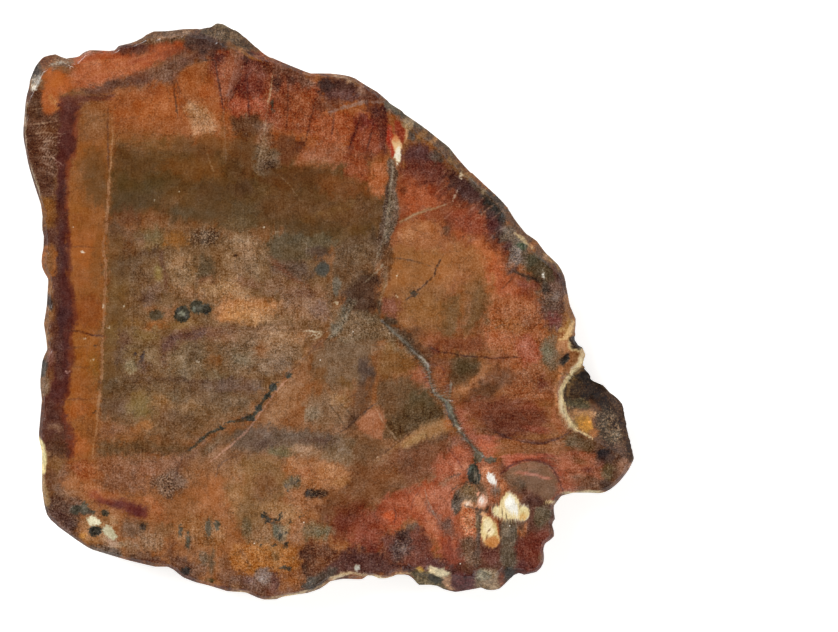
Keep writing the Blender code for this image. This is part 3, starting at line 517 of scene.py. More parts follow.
b A0764E .6 .8 3 10 -74 7 5 0
b 8A7660 .65 .8 3 -14 -86 8 7 0
a 6A4A34 .45 1 3 20 -70 32 -62 37 -74 28 -89 18 -101 13 -98 22 -84
# Orange, red and olive field of the upper right
a 8A4A2C .5 1 6 57 123 78 128 100 111 120 98 139 84 151 60 158 42 175 18 187 1 171 -16 112 -16 57 -8 47 18 47 42 54
 69
a 9A5E3A .45 1 6 54 67 71 77 95 67 120 64 137 52 154 30 163 9 146 -4 95 -8 54 -8 44 18
a 9A6438 .4 1 5 47 52 64 57 95 52 113 45 105 26 91 9 71 -1 47 6
a A06539 .45 1 6 100 52 120 60 139 49 149 30 146 9 129 26 113 35 103 40
a B4663C .5 .9 5 122 64 134 57 146 42 154 26 149 11 139 21 132 40
a AA5A36 .5 1 5 137 47 147 40 158 23 173 6 187 -13 163 -11 149 6 141 25
a 8C603A .45 .9 6 113 30 129 30 139 16 137 -8 117 -9 110 9
b 9F6840 .5 .8 6 117 40 14 10 0
b A86C40 .45 .8 5 100 26 8 12 -20
# Mottled light orange beside the joint line
a A2643C .5 1 3 61 72 74 79 95 77 96 67 91 55 74 54 59 59
b B0744A .6 .8 1 68 64 7 6 -30
b B47A52 .5 .7 2 79 72 5 3 40
# Red field above the joint line
a A0522F .5 1 5 59 108 73 111 95 106 108 94 95 89 74 81 62 84
b AE5C38 .5 .8 3 71 94 6 5 -40
b AC5A34 .5 .8 3 86 101 8 5 0
b 804024 .5 .8 2 64 86 3 5 0
b 6E3A22 .5 .7 1 64 103 3 4 -20
a 6F3722 .5 .9 3 93 108 113 100 124 89 105 88 93 94
a 8D442A .55 1 3 98 84 120 89 139 76 141 62 120 66 105 72
b 783E28 .5 .9 3 102 73 5 7 0
b 5E402C .5 .8 2 100 70 3 5 0
b A35531 .5 .8 3 112 66 7 3 -10
a 774029 .55 .9 3 132 76 146 62 151 50 141 52 132 62
# Purple and maroon rim band
a 6B3628 .55 1 4 62 135 83 140 100 123 103 111 86 108 64 113 61 123
a 5A302A .5 1 3 63 140 78 144 90 137 88 127 71 127 64 130
b 66403C .55 .8 2 78 137 6 3 20
b 7A3A22 .5 .9 3 71 113 10 4 0
b 4C4440 .55 .9 2 72 149 6 3 -40
a 4A2C28 .5 1 3 98 117 110 120 124 111 132 101 132 89 120 91 108 101 100 108
a 4A302C .5 1 3 127 94 141 89 151 74 151 55 141 60 136 76
b 5C2E2C .5 .8 2 139 72 4 8 -20
b 6E3E30 .5 .7 2 124 88 8 3 35
a 34302C .5 1 3 127 105 137 103 147 96 153 84 151 72 142 84 132 91
b 58453A .55 1 3 91 131 6 6 -30
# Grey green and white mottle behind the right rim
a 6B5A4C .7 1 3 148 76 159 71 171 55 175 38 163 35 153 47 147 60
b 44503E .6 .9 2 165 55 5 3 30
b 80706A .8 .9 2 159 45 6 7 -20
b A0928A .8 .6 1 161 50 3 3 0
b 7A6258 .8 .8 2 153 40 3 5 -30
b 54302E .6 .9 2 152 54 3 5 -20
b 3E2A26 .5 .8 1 157 35 4 2 30
a 50422F .55 1 3 170 50 181 50 193 33 198 13 187 9 178 21 170 35
b 3C3A2A .5 .8 2 173 43 5 5 40
a 4C2E26 .5 1 3 187 45 198 37 204 21 204 9 197 18 190 32
b 8A4A38 .6 .9 3 166 23 7 6 0
b 6E3A2A .5 .9 2 177 23 3 5 0
s 3A2A20 .5 .9 .9 158 33 1.3 168 30 1 178 27 1.4
# Cream wedge beside the granular vein
a A83A22 .5 1 1 52 161 56 149 57 135 54 128 51 137 49 149
a 8C3A22 .5 1 1 55 162 61 161 67 156 65 145 62 140 58 147
a E4B988 .3 1 .8 53 145 57 148 62 145 62 137 58 132 55 137
a EFE0BC .3 1 .7 56 138 60 140 62 132 62 126 58 126 56 131
b F4EAD0 .2 1 .5 58 135 2 5 -10
b D48A58 .3 .8 .8 57 147 3 3 0
s D8A87C .4 .8 .7 67 155 0.8 66 149 1.2 65 144 0.8
# Tan, gold and olive rim of the upper right
s 5C5040 .6 1 2 52 174 4 61 169 4 71 162 3 81 155 3 95 145 3 105 134 3
s 62452E .55 1 1 71 156 3 81 151 4 91 144 3 100 135 3 108 125 3
b 927A5C .6 .9 1 68 161 6 4 40
b BC9A72 .6 .7 .9 68 157 4 3 40
b 8A6034 .5 .9 1 81 151 6 3 40
b A87848 .5 .8 1 90 146 6 2 38
s 8A6430 .5 .9 1 103 130 2 110 122 3 119 113 3 124 110 0.8
s 554234 .6 .9 1 120 111 2 130 103 3 139 97 3 147 89 2 156 79 3 163 72 3 171 64 3
b 8A7458 .7 .8 .9 132 102 3 3 40
s 684832 .6 1 1 153 84 2 161 72 3 170 64 3 178 55 3 185 45 3
s C8AE84 .5 .9 .7 159 66 0.8 164 62 2 170 58 1.4 174 54 1
b A06A40 .5 .7 1 175 59 6 3 40
s 907450 .6 .8 1 183 49 1.3 192 41 2 199 33 0.8
b A88468 .6 .8 .7 184 46 2 3 0
# Joint line
s A07A54 .5 .8 .9 61 76 0.8 76 83 1 86 86 0.8 100 91 0.6
# Granular grey vein from the wedge to the core
a 624A3A .7 1 1 51 130 57 128 59 120 57 110 58 96 61 84 59 74 52 64 49 52 44 42 37 37 35 47 40 60 45 76 47 91 51 108
 49 122
b 746250 .75 .7 1 53 89 3 10 -6
b 6E6052 .75 .7 1 51 67 3 10 -24
b 4A3428 .5 .8 1 51 101 2 7 0
s 94866E .75 .4 .6 56 127 0.7 54 115 0.8 52 98 0.8 51 83 0.8 49 67 0.9 45 54 0.8 40 42 0.7
# Ochre field and upright bands of the right middle
a 8C5D38 .45 1 6 44 18 78 23 105 20 113 1 110 -18 86 -21 69 -16 54 -6
b 95663C .45 .8 5 82 3 19 12 -10
a 765433 .45 1 3 100 13 108 16 113 6 110 -13 102 -23 95 -18 96 -2
s 94684A .5 .9 2 118 16 2 119 4 3 117 -8 2 115 -18 0.8
a 6F4D2E .45 1 5 124 21 134 20 139 4 134 -11 124 -18 113 -21 117 -8 122 4
s 8A6440 .5 .7 2 129 18 2 127 4 1.2 123 -11 0.8
b 86523F .55 1 3 53 3 8 8 0
b 48382A .45 .9 1 53 -8 6 3 -12
b 3E3426 .45 .8 1 43 3 2 6 0
b 9A6C48 .55 .8 2 65 -11 6 4 -40
b 6A452C .5 .9 2 74 -18 6 3 -20
# Speckled orange and pinkish red of the right
a A15F39 .65 1 5 137 13 163 15 180 4 185 -16 183 -42 171 -57 146 -47 134 -30 132 -11
b 995B30 .7 .9 3 156 -13 17 7 0
b AC6644 .6 .8 3 146 -23 12 6 0
b 8E5230 .7 .8 3 172 -9 8 7 0
a A4583E .6 .9 3 158 -26 171 -19 180 -30 178 -45 166 -47 158 -36
b AE6850 .6 .7 2 169 -31 5 8 10
# Grey, purple and orange behind the right rim
a 63463A .65 1 3 181 25 193 26 202 15 203 -1 197 -18 187 -16 180 1
b 6A5244 .75 .8 2 187 9 5 8 0
b 80706A .8 .5 1 193 13 3 4 0
b 3E3630 .6 .8 1 184 20 3 5 0
b 7A4440 .6 .9 3 191 -6 7 6 0
a 79604A .6 1 3 182 -23 193 -21 197 -33 197 -47 187 -53 181 -43 180 -31
b 706852 .6 .9 3 187 -35 4 8 0
a B07850 .5 1 2 194 -23 202 -21 205 -28 209 -33 202 -36 193 -33
b 3A2A22 .5 1 1 200 -40 3 6 -35
# Cream and gold rim of the right
s 8F6340 .5 1 1 202 13 2 203 1 3 206 -9 3 208 -19 3
s A8804E .5 .9 1 198 -16 2 204 -16 3 206 -9 3
s D9B380 .4 1 .9 197 -24 1.3 202 -22 2 206 -17 2 208 -9 1.2
s DCC290 .4 .9 .8 204 -25 0.8 204 -30 1.2 209 -33 1.2 215 -33 1
a 342C24 .5 1 1 205 -25 211 -21 217 -26 221 -32 214 -33 208 -31
s CDB088 .4 1 .9 218 -35 3 214 -43 3 208 -52 3 202 -60 3 197 -69 2 197 -77 2 199 -86 3 204 -94 3 210 -101 2
s EADCB4 .3 .9 .6 215 -40 0.8 211 -47 1 205 -57 1.2 200 -65 1 198 -74 1 199 -82 1.2 203 -91 1
# Fields around the dark joint line
a 854B2F .5 1 5 76 -19 100 -25 129 -21 137 -28 134 -36 112 -35 91 -31 81 -28
b 764024 .5 .9 3 108 -29 19 4 -4
b 93583A .5 .7 2 91 -23 10 3 -10
b 663024 .5 .7 1 89 -33 6 3 -10
a 744429 .55 1 3 83 -35 98 -36 107 -47 108 -64 100 -70 91 -64 85 -50
a 985A38 .5 .9 3 90 -43 98 -47 100 -60 95 -69 90 -62
a 63462C .5 1 3 103 -38 120 -38 129 -43 129 -53 117 -64 107 -65 102 -53
b 524026 .45 .8 3 115 -48 8 6 0
s A8704A .5 .9 2 109 -70 2 117 -64 3 127 -57 3 134 -47 3 140 -35 3
a 805034 .5 1 4 142 -47 163 -48 170 -55 156 -62 142 -70 120 -76 113 -72 129 -59
a 5E3E28 .45 .9 3 125 -64 146 -59 147 -67 130 -74 115 -77
b 6C4A36 .5 .8 3 149 -57 8 3 0
b 8A5438 .5 .9 2 144 -40 10 3 0
a 8F5330 .7 1 3 164 -52 178 -45 185 -55 190 -69 187 -77 166 -77 147 -74 151 -64
b A05E38 .7 .7 2 175 -72 10 3 0
b 70382A .6 .7 2 182 -62 4 6 -20
b 93583A .55 .8 2 191 -70 4 8 0
a 75402B .55 1 5 113 -74 146 -74 176 -77 187 -87 188 -103 163 -108 137 -101 120 -94 110 -84
b 62321F .5 .8 3 151 -93 22 6 -4
b 5E3024 .5 .8 3 156 -101 14 3 -4
b 844D34 .55 .8 3 125 -84 8 6 0
b 8C4A34 .6 .7 2 171 -81 10 3 0
b 964E38 .6 .8 2 178 -101 10 3 -4
a 965836 .55 1 2 189 -79 195 -77 198 -89 205 -101 197 -106 190 -96
b 6A442E .55 .8 2 134 -103 8 3 -10
s 50261E .45 .9 1 141 -102 0.8 151 -107 1.4 163 -110 1.5 176 -112 1.4 193 -109 0.8
# Open joint and its walls
a 654028 .55 1 3 49 -11 61 -14 74 -25 85 -35 86 -43 78 -40 64 -30 52 -21
b 4C3624 .5 .8 2 68 -23 8 3 -38
a 7E6246 .65 .9 2 47 -16 57 -25 69 -35 73 -43 61 -40 51 -31
b 96744E .6 .7 1 51 -33 4 7 -30
a 84582F .5 1 3 47 -35 61 -35 74 -42 73 -50 57 -55 44 -57 39 -48
a A26244 .5 .9 3 71 -47 81 -47 86 -57 86 -67 78 -65 69 -57
a 694C32 .5 1 5 42 -59 62 -55 81 -62 90 -72 95 -82 91 -93 76 -99 61 -110 51 -103 40 -79
a 57452B .45 .9 3 68 -65 83 -69 93 -79 90 -89 74 -96 66 -82
b 7A563A .5 .7 3 51 -74 7 10 0
b 9C6646 .5 .8 2 40 -93 7 12 -10
a 9C5A44 .55 1 3 105 -77 112 -82 119 -96 125 -104 141 -106 147 -115 141 -121 127 -120 115 -110 108 -96
a 8C5240 .55 .8 3 100 -103 108 -103 120 -115 125 -123 112 -120 102 -115
b C57052 .5 .9 3 134 -115 8 6 -20
b B26650 .5 .8 1 136 -107 10 2 -2
# Tan wedge and the brown field under it
a A2764E .5 1 1 61 -111 69 -104 78 -96 90 -92 103 -92 103 -102 91 -106 78 -111 64 -118
b A88458 .55 .7 1 73 -110 12 3 30
b A86438 .5 .8 1 101 -96 3 5 0
s 9C7450 .5 .8 .9 37 -130 0.8 49 -121 1.1 62 -110 1 78 -98 0.8
s 5A3C28 .5 .9 2 64 -121 2 78 -115 3 91 -110 3 103 -104 2
a 7B4C33 .55 1 5 40 -132 57 -121 78 -116 100 -110 113 -115 105 -128 86 -140 61 -149 40 -145
b 6A4531 .5 .8 3 59 -133 12 5 20
b A05A42 .6 .7 3 96 -128 10 4 36
# Brown band and pink seam above the lens
a 96603F .55 1 3 146 -110 163 -113 187 -113 202 -108 207 -115 197 -121 171 -120 147 -123 142 -116
b A66A48 .55 .8 1 159 -110 7 2 -8
b 83563A .6 .7 2 176 -118 10 3 0
s BA6A54 .5 .9 1 146 -124 1.2 159 -122 2 175 -124 1.2 190 -123 1.4 198 -127 1
s 6A3024 .5 .8 .9 178 -125 0.7 185 -123 0.8 197 -123 0.7
# Brown rays and the red foot of the middle
a 7C5032 .5 1 5 8 -132 27 -127 52 -133 68 -142 61 -157 37 -169 10 -178 -11 -181 -9 -166 0 -157
b 70472B .5 .8 5 3 -167 12 8 0
b 6C3A22 .5 .8 5 18 -171 17 8 20
b 845434 .5 .8 3 49 -138 12 7 30
a 70391F .5 1 5 -2 -174 15 -167 32 -166 37 -178 27 -193 8 -198 -6 -191
b 6A2F1E .5 .8 3 15 -181 10 8 0
a 83402A .55 1 5 23 -174 40 -167 51 -178 49 -193 39 -205 20 -203 18 -189
b 8E4A38 .55 .8 3 32 -189 8 7 0
a 9C5034 .55 1 3 39 -164 54 -155 71 -147 86 -145 81 -161 71 -174 64 -184 51 -188 42 -178
b B35A3A .55 .9 2 57 -179 8 6 0
b C45A30 .55 .8 1 52 -174 5 4 0
# Orange and olive tan field of the foot
a 8C6642 .52 1 5 -82 -127 -62 -123 -41 -127 -33 -144 -41 -161 -53 -181 -68 -188 -82 -178 -87 -152
b 82583A .52 .8 5 -55 -150 10 12 0
b A67450 .57 .8 3 -77 -138 7 10 0
b AC7A50 .57 .7 3 -79 -161 7 10 0
b 7A5836 .52 .7 3 -70 -171 6 10 0
b 8C6844 .57 .7 3 -67 -133 12 5 0
a A46C44 .62 1 4 -40 -127 -24 -125 10 -130 20 -138 13 -149 -2 -152 -19 -147 -33 -140
b AE7850 .62 .8 3 0 -135 10 5 0
b B0704A .62 .8 3 -19 -137 8 4 0
b 94602E .57 .6 2 10 -145 7 3 0
a A46E4A .67 .9 3 -38 -154 -23 -149 -19 -159 -9 -166 -16 -172 -28 -178 -38 -172
b 8C5A32 .62 .8 2 -17 -172 8 3 0
a A67A52 .67 .9 3 -55 -164 -38 -162 -24 -167 -28 -181 -41 -178 -51 -174
a 8A6848 .67 .9 3 -63 -178 -50 -181 -45 -195 -51 -201 -67 -200 -75 -191
b 6C5A40 .67 .7 2 -70 -184 5 7 0
b 9A7050 .67 .7 2 -57 -189 8 5 0
a 766450 .67 1 3 -46 -179 -33 -181 -34 -193 -41 -200 -48 -191
b 6A6A5C .67 .8 1 -45 -186 3 7 10
b A08868 .77 .7 1 -36 -186 3 7 0
a 9C6C4C .67 .9 3 -34 -178 -17 -174 -9 -181 -6 -193 -17 -200 -31 -198
a 80684C .67 .9 3 -24 -183 -9 -178 1 -184 3 -191 -9 -196 -21 -193
b 6E6A56 .67 .7 2 -6 -188 7 3 0
a A2652F .72 1 3 -85 -200 -67 -198 -45 -196 -26 -201 -24 -213 -31 -223 -51 -222 -72 -225 -85 -218
b AE7036 .72 .8 2 -63 -217 8 4 0
b B0743C .72 .7 2 -53 -203 10 3 0
b 7C6040 .67 .7 2 -45 -208 3 7 0
s 6A4630 .67 .8 .9 -74 -203 1.2 -71 -210 1 -67 -217 0.8
a 6C432E .67 1 3 -26 -200 -7 -195 8 -200 11 -213 1 -223 -14 -229 -24 -222
b 5A3626 .67 .8 2 -21 -205 5 6 0
b 7C4C2E .67 .8 2 -6 -213 7 4 0
b 4E3222 .67 .8 2 -20 -218 3 7 0
a 8A5430 .67 1 3 -41 -220 -24 -223 -17 -232 -28 -239 -43 -237
b A0602E .67 .8 2 -31 -229 5 3 0
a 745242 .67 1 3 -87 -225 -72 -227 -57 -220 -43 -222 -41 -239 -57 -242 -75 -237 -87 -235
b 97827A .77 .9 2 -56 -225 7 6 -20
b B4A49E .77 .7 1 -57 -229 3 3 0
b 7C6260 .72 .7 2 -67 -229 5 3 0
b 6C3E30 .62 .8 2 -48 -237 5 4 0
b 6A4038 .67 .7 2 -45 -229 3 7 0
b 94643E .67 .7 2 -79 -234 4 3 0
# Dark purple band and grey mottle of the foot
a 56322C .57 1 3 6 -208 23 -201 47 -205 61 -217 78 -213 98 -208 113 -218 108 -237 98 -239 90 -222 61 -222 27 -225 1
 -229 -6 -222
a 6E3C30 .57 1 3 44 -191 61 -188 78 -183 88 -195 93 -212 78 -220 61 -215 47 -208
a 5C4440 .72 1 3 51 -198 59 -191 69 -188 71 -201 64 -212 54 -212
b 7A6660 .82 .7 1 62 -201 6 3 0
b 40302E .62 .8 1 64 -189 5 3 30
b 6A5648 .62 .8 1 71 -183 5 3 10
b 72362A .57 .8 3 35 -200 8 4 0
b 5A3434 .57 .7 2 86 -213 8 4 0
a 4E4038 .57 1 2 -23 -232 -9 -223 3 -218 11 -218 1 -229 -9 -237 -23 -239
b 585048 .62 .8 1 -14 -230 7 3 24
# Pinkish red flow lines of the lower right
a A85A3E .55 1 4 62 -161 81 -147 100 -137 112 -144 108 -161 113 -178 113 -198 110 -212 95 -208 85 -186 71 -179 62
 -172
a B0694F .55 1 3 83 -152 98 -142 108 -147 107 -162 110 -178 100 -176 91 -166 83 -161
b B56E50 .55 .8 2 79 -161 6 8 -20
b BA7050 .55 .8 2 88 -181 4 8 20
a A65C42 .6 1 3 93 -128 108 -116 120 -120 120 -132 112 -144 100 -144 91 -137
b C07C5E .55 .8 2 113 -133 6 4 30
b B86A4C .5 .8 2 113 -120 6 3 -30
b 8C6850 .6 .7 2 100 -144 6 3 30
a 84594A .55 .9 2 95 -176 105 -178 110 -188 108 -196 100 -189 93 -183
b 66504A .5 .7 1 100 -181 4 4 -40
s 966C5C .5 .8 1 82 -161 1 86 -169 1.2 93 -174 1.2 98 -179 1.2
s 7A4A3C .5 .7 .9 81 -159 0.6 85 -167 0.7 92 -176 0.7 98 -189 0.7 105 -200 0.7 110 -208 0.7
s C87A5A .5 .7 .9 86 -174 0.8 90 -186 1 93 -198 1 96 -208 0.7
a 8C4634 .5 1 3 95 -195 105 -195 113 -208 113 -218 102 -217 95 -208
b 663830 .5 .8 2 113 -201 3 8 0
# Lens of grey brown chalcedony and its seams
a B06048 .55 1 3 142 -125 163 -123 190 -127 202 -133 209 -144 197 -154 180 -161 171 -155
a 7E5E4A .35 1 .9 147 -137 158 -131 170 -127 181 -127 190 -132 195 -142 197 -150 190 -159 180 -161 170 -152 156 -145
b 9A705A .5 .7 2 170 -132 8 3 0
s C47E6C .5 .8 .9 158 -138 0.8 168 -138 1.4 180 -140 0.8 187 -142 1.4
s 6A3026 .45 .9 .9 148 -135 0.5 158 -129 0.7 170 -126 0.8 183 -127 0.8 192 -132 1.1 197 -142 0.8 200 -150 0.7
a 5E4E42 .4 .9 .9 147 -138 161 -140 170 -149 166 -155 154 -149
# Red, green grey and dark brown of the right foot
a 9A5A40 .6 1 3 195 -120 210 -116 226 -123 234 -135 232 -149 217 -155 202 -155 197 -144 198 -133
b B06C52 .55 .8 2 202 -130 6 4 0
b A46048 .55 .8 2 204 -150 8 3 0
b 7C553A .6 .8 2 213 -127 7 3 -20
s BA8068 .5 .7 .9 197 -140 0.8 207 -140 1 221 -139 0.8
a 714C38 .6 .9 3 207 -138 222 -140 234 -145 227 -155 212 -154
b 84604C .65 .7 1 227 -145 5 4 0
b 6C3A30 .55 .8 1 219 -135 5 3 0
b 4C3A34 .55 .8 1 236 -147 6 4 30
a 67503A .6 1 2 200 -104 214 -106 229 -115 226 -121 210 -116 202 -115
b 74604C .6 .7 2 207 -110 4 5 0
a 5E4030 .6 1 3 222 -115 236 -110 253 -113 260 -125 255 -135 244 -144 234 -140 227 -128
b 241E22 .4 1 1 233 -121 6 4 0
b 302428 .45 .7 2 235 -125 7 4 0
a 68543A .6 .9 2 232 -128 243 -130 244 -140 236 -145 231 -138
b 805448 .6 .8 1 231 -130 3 3 0
a 91664F .65 .9 1 246 -127 256 -121 260 -128 253 -138 246 -140
b 583024 .5 .8 1 251 -142 4 3 40
b 3A2620 .5 .8 1 241 -152 5 2 30
# Grey concretion and white crystals
a 54463C .7 1 .6 105 -154 112 -149 117 -152 113 -162 113 -172 108 -174 105 -166
a 705A46 .8 1 .6 110 -150 120 -144 130 -150 136 -161 132 -167 124 -164 117 -164 112 -159
b 8C7050 .6 .8 1 120 -152 6 4 0
a C07A54 .65 1 1 113 -164 124 -163 134 -167 139 -174 134 -195 124 -189 113 -189 112 -174
a C06A42 .95 1 .6 114 -168 124 -169 125 -181 124 -191 114 -191
b D0885C .8 .7 .7 119 -178 3 7 0
a E2B892 .4 .9 .7 113 -162 120 -161 124 -164 115 -166
a A86444 .7 1 1 130 -130 139 -132 153 -145 153 -155 146 -155 139 -167 132 -161 127 -152
b D08058 .75 .9 .7 134 -135 4 4 0
b D48A60 .75 .8 .7 148 -149 3 4 0
a F4ECE2 .15 1 .4 135 -138 139 -137 143 -144 144 -147 140 -148 136 -144
a F0E6D6 .2 1 .4 127 -158 131 -157 136 -162 133 -166 129 -164
b E8B898 .3 .7 .6 132 -163 4 3 0
b 6A584C .55 .9 .9 142 -153 5 3 0
a 5C4836 .5 .9 .9 124 -140 129 -142 134 -152 137 -161 132 -159 125 -150
s 4A3C2E .5 .9 .7 124 -167 0.8 132 -170 1 139 -166 1 145 -164 0.7
# Cream and yellow chalcedony of the foot
a E8DCC0 .2 1 .6 147 -162 149 -155 154 -153 161 -161 162 -164 169 -165 171 -172 168 -178 158 -178 147 -175 141 -174
 138 -169 142 -166 148 -168
a F3EEDC .15 1 .6 149 -161 153 -155 159 -161 159 -171 151 -172 148 -167
b EDD28E .25 .9 .8 167 -172 3 3 0
b E6CC94 .3 .7 .7 153 -175 7 2 0
a DCB884 .35 1 .8 132 -178 138 -176 144 -183 146 -195 142 -200 134 -200 130 -193 130 -184
b E8D4A4 .3 .9 .8 136 -183 3 5 0
b CC8444 .45 .9 .9 138 -196 5 3 0
b B05C34 .5 .8 .7 144 -189 1 6 0
# Dark column, olive grey block and the maroon ribs
a 5A4438 .6 1 .7 125 -167 132 -171 129 -183 129 -195 130 -212 125 -222 122 -212 125 -195
b 6C5A40 .6 .8 1 126 -179 2 8 0
a 6E4E3A .7 1 2 113 -191 124 -191 125 -205 129 -215 119 -218 112 -208
b 9A7258 .75 .7 1 117 -210 3 3 0
a 6A4038 .6 1 1 132 -200 142 -201 147 -208 142 -217 132 -213
a 66584A .6 1 .6 146 -177 159 -178 164 -184 159 -195 158 -208 159 -218 151 -220 146 -212 146 -195
b 7E6E5C .65 .8 1 151 -186 4 5 0
a A86A44 .6 1 .9 161 -180 168 -179 171 -184 166 -191 161 -191
b 4A3226 .5 .8 .7 164 -183 3 3 -40
a 5E3A2E .55 1 2 163 -149 175 -155 187 -161 192 -171 192 -186 185 -193 168 -195 170 -181 173 -171 168 -162
a 615240 .6 1 1 175 -167 185 -164 190 -171 188 -178 178 -184 173 -178
b 4A2A24 .5 .8 1 176 -161 8 3 0
a 6A3226 .55 1 2 159 -195 173 -189 187 -184 192 -191 185 -196 183 -208 185 -217 176 -225 163 -225 159 -212
b 552622 .5 .8 1 164 -217 4 6 0
b 80604C .6 .9 1 181 -210 3 3 0
s B8A088 .5 .9 .8 185 -162 0.8 191 -162 1.4 193 -167 0.8
b E4CC90 .35 1 .6 187 -162 4 1 0
# Cream rim of the foot
s D8C49C .45 .9 .8 198 -155 0.8 209 -155 1.4 222 -154 2 236 -155 0.8
b E8D8B0 .35 .8 .8 224 -154 7 1 0
s CDB48C .5 .9 .7 -85 -239 0.8 -75 -239 1 -68 -240 0.8
s C8AE88 .5 .9 .7 -57 -246 0.8 -48 -244 1 -36 -242 1.2 -24 -240 1.2 -12 -237 1 1 -230 0.8
s D0B48C .5 .9 .7 1 -227 1 11 -223 1.2 23 -223 1 35 -225 1 49 -227 0.8 61 -223 0.8 71 -223 0.8
b C6C0AA .4 1 .6 24 -218 2 2 -20
# Purple grey band above the foot
a 6C5646 .5 1 3 -82 -101 -57 -96 -24 -101 10 -106 28 -110 18 -120 -7 -116 -41 -116 -68 -121 -82 -116
a 7A6048 .55 .9 3 10 -104 27 -110 37 -120 18 -130 1 -125 -7 -116
b 735A4C .5 .8 3 -57 -103 8 5 0
b 60483E .5 .8 2 -57 -112 10 3 0
b 5E463E .5 .8 2 -9 -110 15 2 -4
b 6E5C50 .55 .6 2 -24 -106 17 3 0
b 8A7462 .6 .8 2 10 -113 5 5 0
a 72664A .55 .9 2 -51 -117 -38 -115 -24 -116 -23 -121 -38 -124 -50 -123
a A07C60 .6 .9 2 -34 -115 -19 -114 -6 -118 -7 -125 -21 -123 -33 -121
b B4927A .6 .6 1 -24 -118 5 3 0
a 8A6E54 .6 .9 2 -6 -118 10 -120 15 -128 1 -128 -9 -125
a 745034 .5 .9 3 23 -106 40 -110 54 -115 40 -125 27 -133 18 -127
# Broken corner of the right with its grainy floor
a 2E1A0A .6 1 1 207 -53 219 -46 234 -55 246 -64 253 -76 255 -91 236 -87 228 -79 224 -74 202 -79 198 -70
a 553A1C .65 1 2 202 -62 214 -56 222 -68 212 -76 201 -74
a 625639 .75 1 1 201 -76 212 -74 224 -77 224 -83 209 -83 203 -81
a A87A50 .5 1 1 204 -85 226 -84 231 -89 210 -93 204 -91
a C08838 .5 1 1 207 -91 219 -87 226 -96 226 -108 214 -102
b B06C38 .55 .9 1 226 -104 5 4 0
b 9A8458 .6 .8 1 209 -96 4 3 -40
a 543F2A .9 1 2 226 -87 239 -82 249 -93 253 -111 239 -115 229 -104
b 6A5A46 .9 .7 1 236 -96 5 5 0
b 6E604E .95 .7 1 244 -106 4 5 0
a 452B16 .6 1 1 236 -55 251 -69 260 -96 263 -127 254 -129 251 -110 247 -89 238 -79
s 6E563A .6 .8 .7 249 -69 1.2 255 -84 1 258 -101 1 260 -125 1.2
a 38291E .5 1 1 205 -21 217 -21 217 -32 207 -33 204 -27
# Rind lumps at the foot
a 665638 .7 1 1 69 -220 85 -220 95 -230 103 -240 86 -239 73 -234
a 3A3427 .5 1 1 85 -224 93 -223 98 -229 95 -232 86 -230
a EBDAB4 .4 1 .9 84 -217 95 -217 104 -223 101 -228 91 -224 85 -223
b C8983C .5 .8 .9 78 -220 3 2 0
a B08462 .6 1 1 96 -226 103 -223 109 -230 108 -240 98 -235
a 8A7E6C .55 1 1 79 -233 95 -234 102 -240 91 -241 78 -237
a 5C3030 .5 1 1 105 -222 119 -222 127 -232 122 -239 110 -240 103 -232
b 927C64 .7 1 1 136 -229 12 10 0
b 8C8674 .7 .9 1 132 -224 6 5 0
s C8BCA4 .6 .8 .7 126 -227 0.8 132 -221 1 139 -221 0.8
s B8A890 .6 .8 .7 129 -237 0.8 137 -240 1 145 -237 0.8
a 7A4634 .45 1 1 145 -220 150 -222 149 -234 144 -230
a 383430 .5 1 1 148 -217 159 -218 159 -229 151 -232
# Crust of the upper left corner and the knob
a 3C3430 .6 1 1 -257 212 -245 215 -244 200 -252 195 -259 198
a 7A4A2C .6 1 1 -247 220 -233 219 -237 208 -244 207
b AAA094 .9 1 1 -249 196 4 4 0
b E0D6BE .5 1 .8 -251 190 3 2 0
a 86664E .8 .9 1 -233 217 -220 217 -218 211 -232 208
a 604A34 .7 1 1 -108 241 -99 248 -87 249 -74 237 -63 225 -68 220 -82 227 -97 232 -106 234
a 7A664A .7 .9 .9 -98 247 -88 247 -86 241 -97 239
s 946032 .45 .9 .8 -85 228 1.3 -75 222 1.3 -65 215 1.3 -57 212 0.8
# Left rim with its knobs
a E4D49E .4 1 .8 -249 -104 -244 -108 -240 -118 -240 -132 -242 -140 -247 -138 -249 -118
a 9E7E58 .5 1 1 -247 -138 -241 -139 -239 -154 -236 -165 -240 -167 -247 -155
b 96632F .5 1 1 -238 84 4 13 0
b 8A5830 .5 1 1 -238 42 4 11 0
b 845832 .5 1 1 -237 20 3 7 0
b 875A34 .5 1 1 -241 -8 3 12 0
b 9C6450 .6 1 1 -236 -40 3 8 0
b 46403A .5 1 1 -243 -48 4 8 0
b 84664E .6 1 1 -242 -64 5 8 0
# Later touches
s 552E22 .5 .7 1 -231 64 1.4 -229 42 1.4 -230 18 1.4 -232 -16 2 -231 -42 2
s C47C50 .5 .5 1 -208 210 0.8 -191 213 1.2 -170 213 0.8 -152 219 0.7
s BE7448 .5 .5 1 -215 196 0.7 -198 202 1.2 -176 207 0.8 -159 208 0.7
b AC825E .75 .6 3 -111 168 10 7 -40
b B07E56 .75 .6 3 -104 156 10 4 0
s 8E5A48 .55 .7 .9 -76 215 2 -79 202 3 -84 188 2 -87 176 0.8
b 94603A .5 .6 3 -11 125 14 4 0
b 54301F .5 .6 3 -31 205 10 3 -20
b AC825E .75 .7 5 -38 -21 20 7 0
b BE8C60 .75 .5 5 -63 -1 19 7 0
b A88058 .75 .5 5 -91 20 14 5 0
b 2C221C .9 .8 1 -15 -155 5 4 0
b 3E3026 .9 .8 1 -7 -155 7 4 0
b 6E4228 .5 .5 3 -7 -167 10 4 0
a 6E6650 .85 .6 1 -40 -144 -24 -138 -23 -149 -36 -152
a A66A4A .5 .8 .9 41 -80 48 -93 58 -110 42 -110 20 -98 29 -87
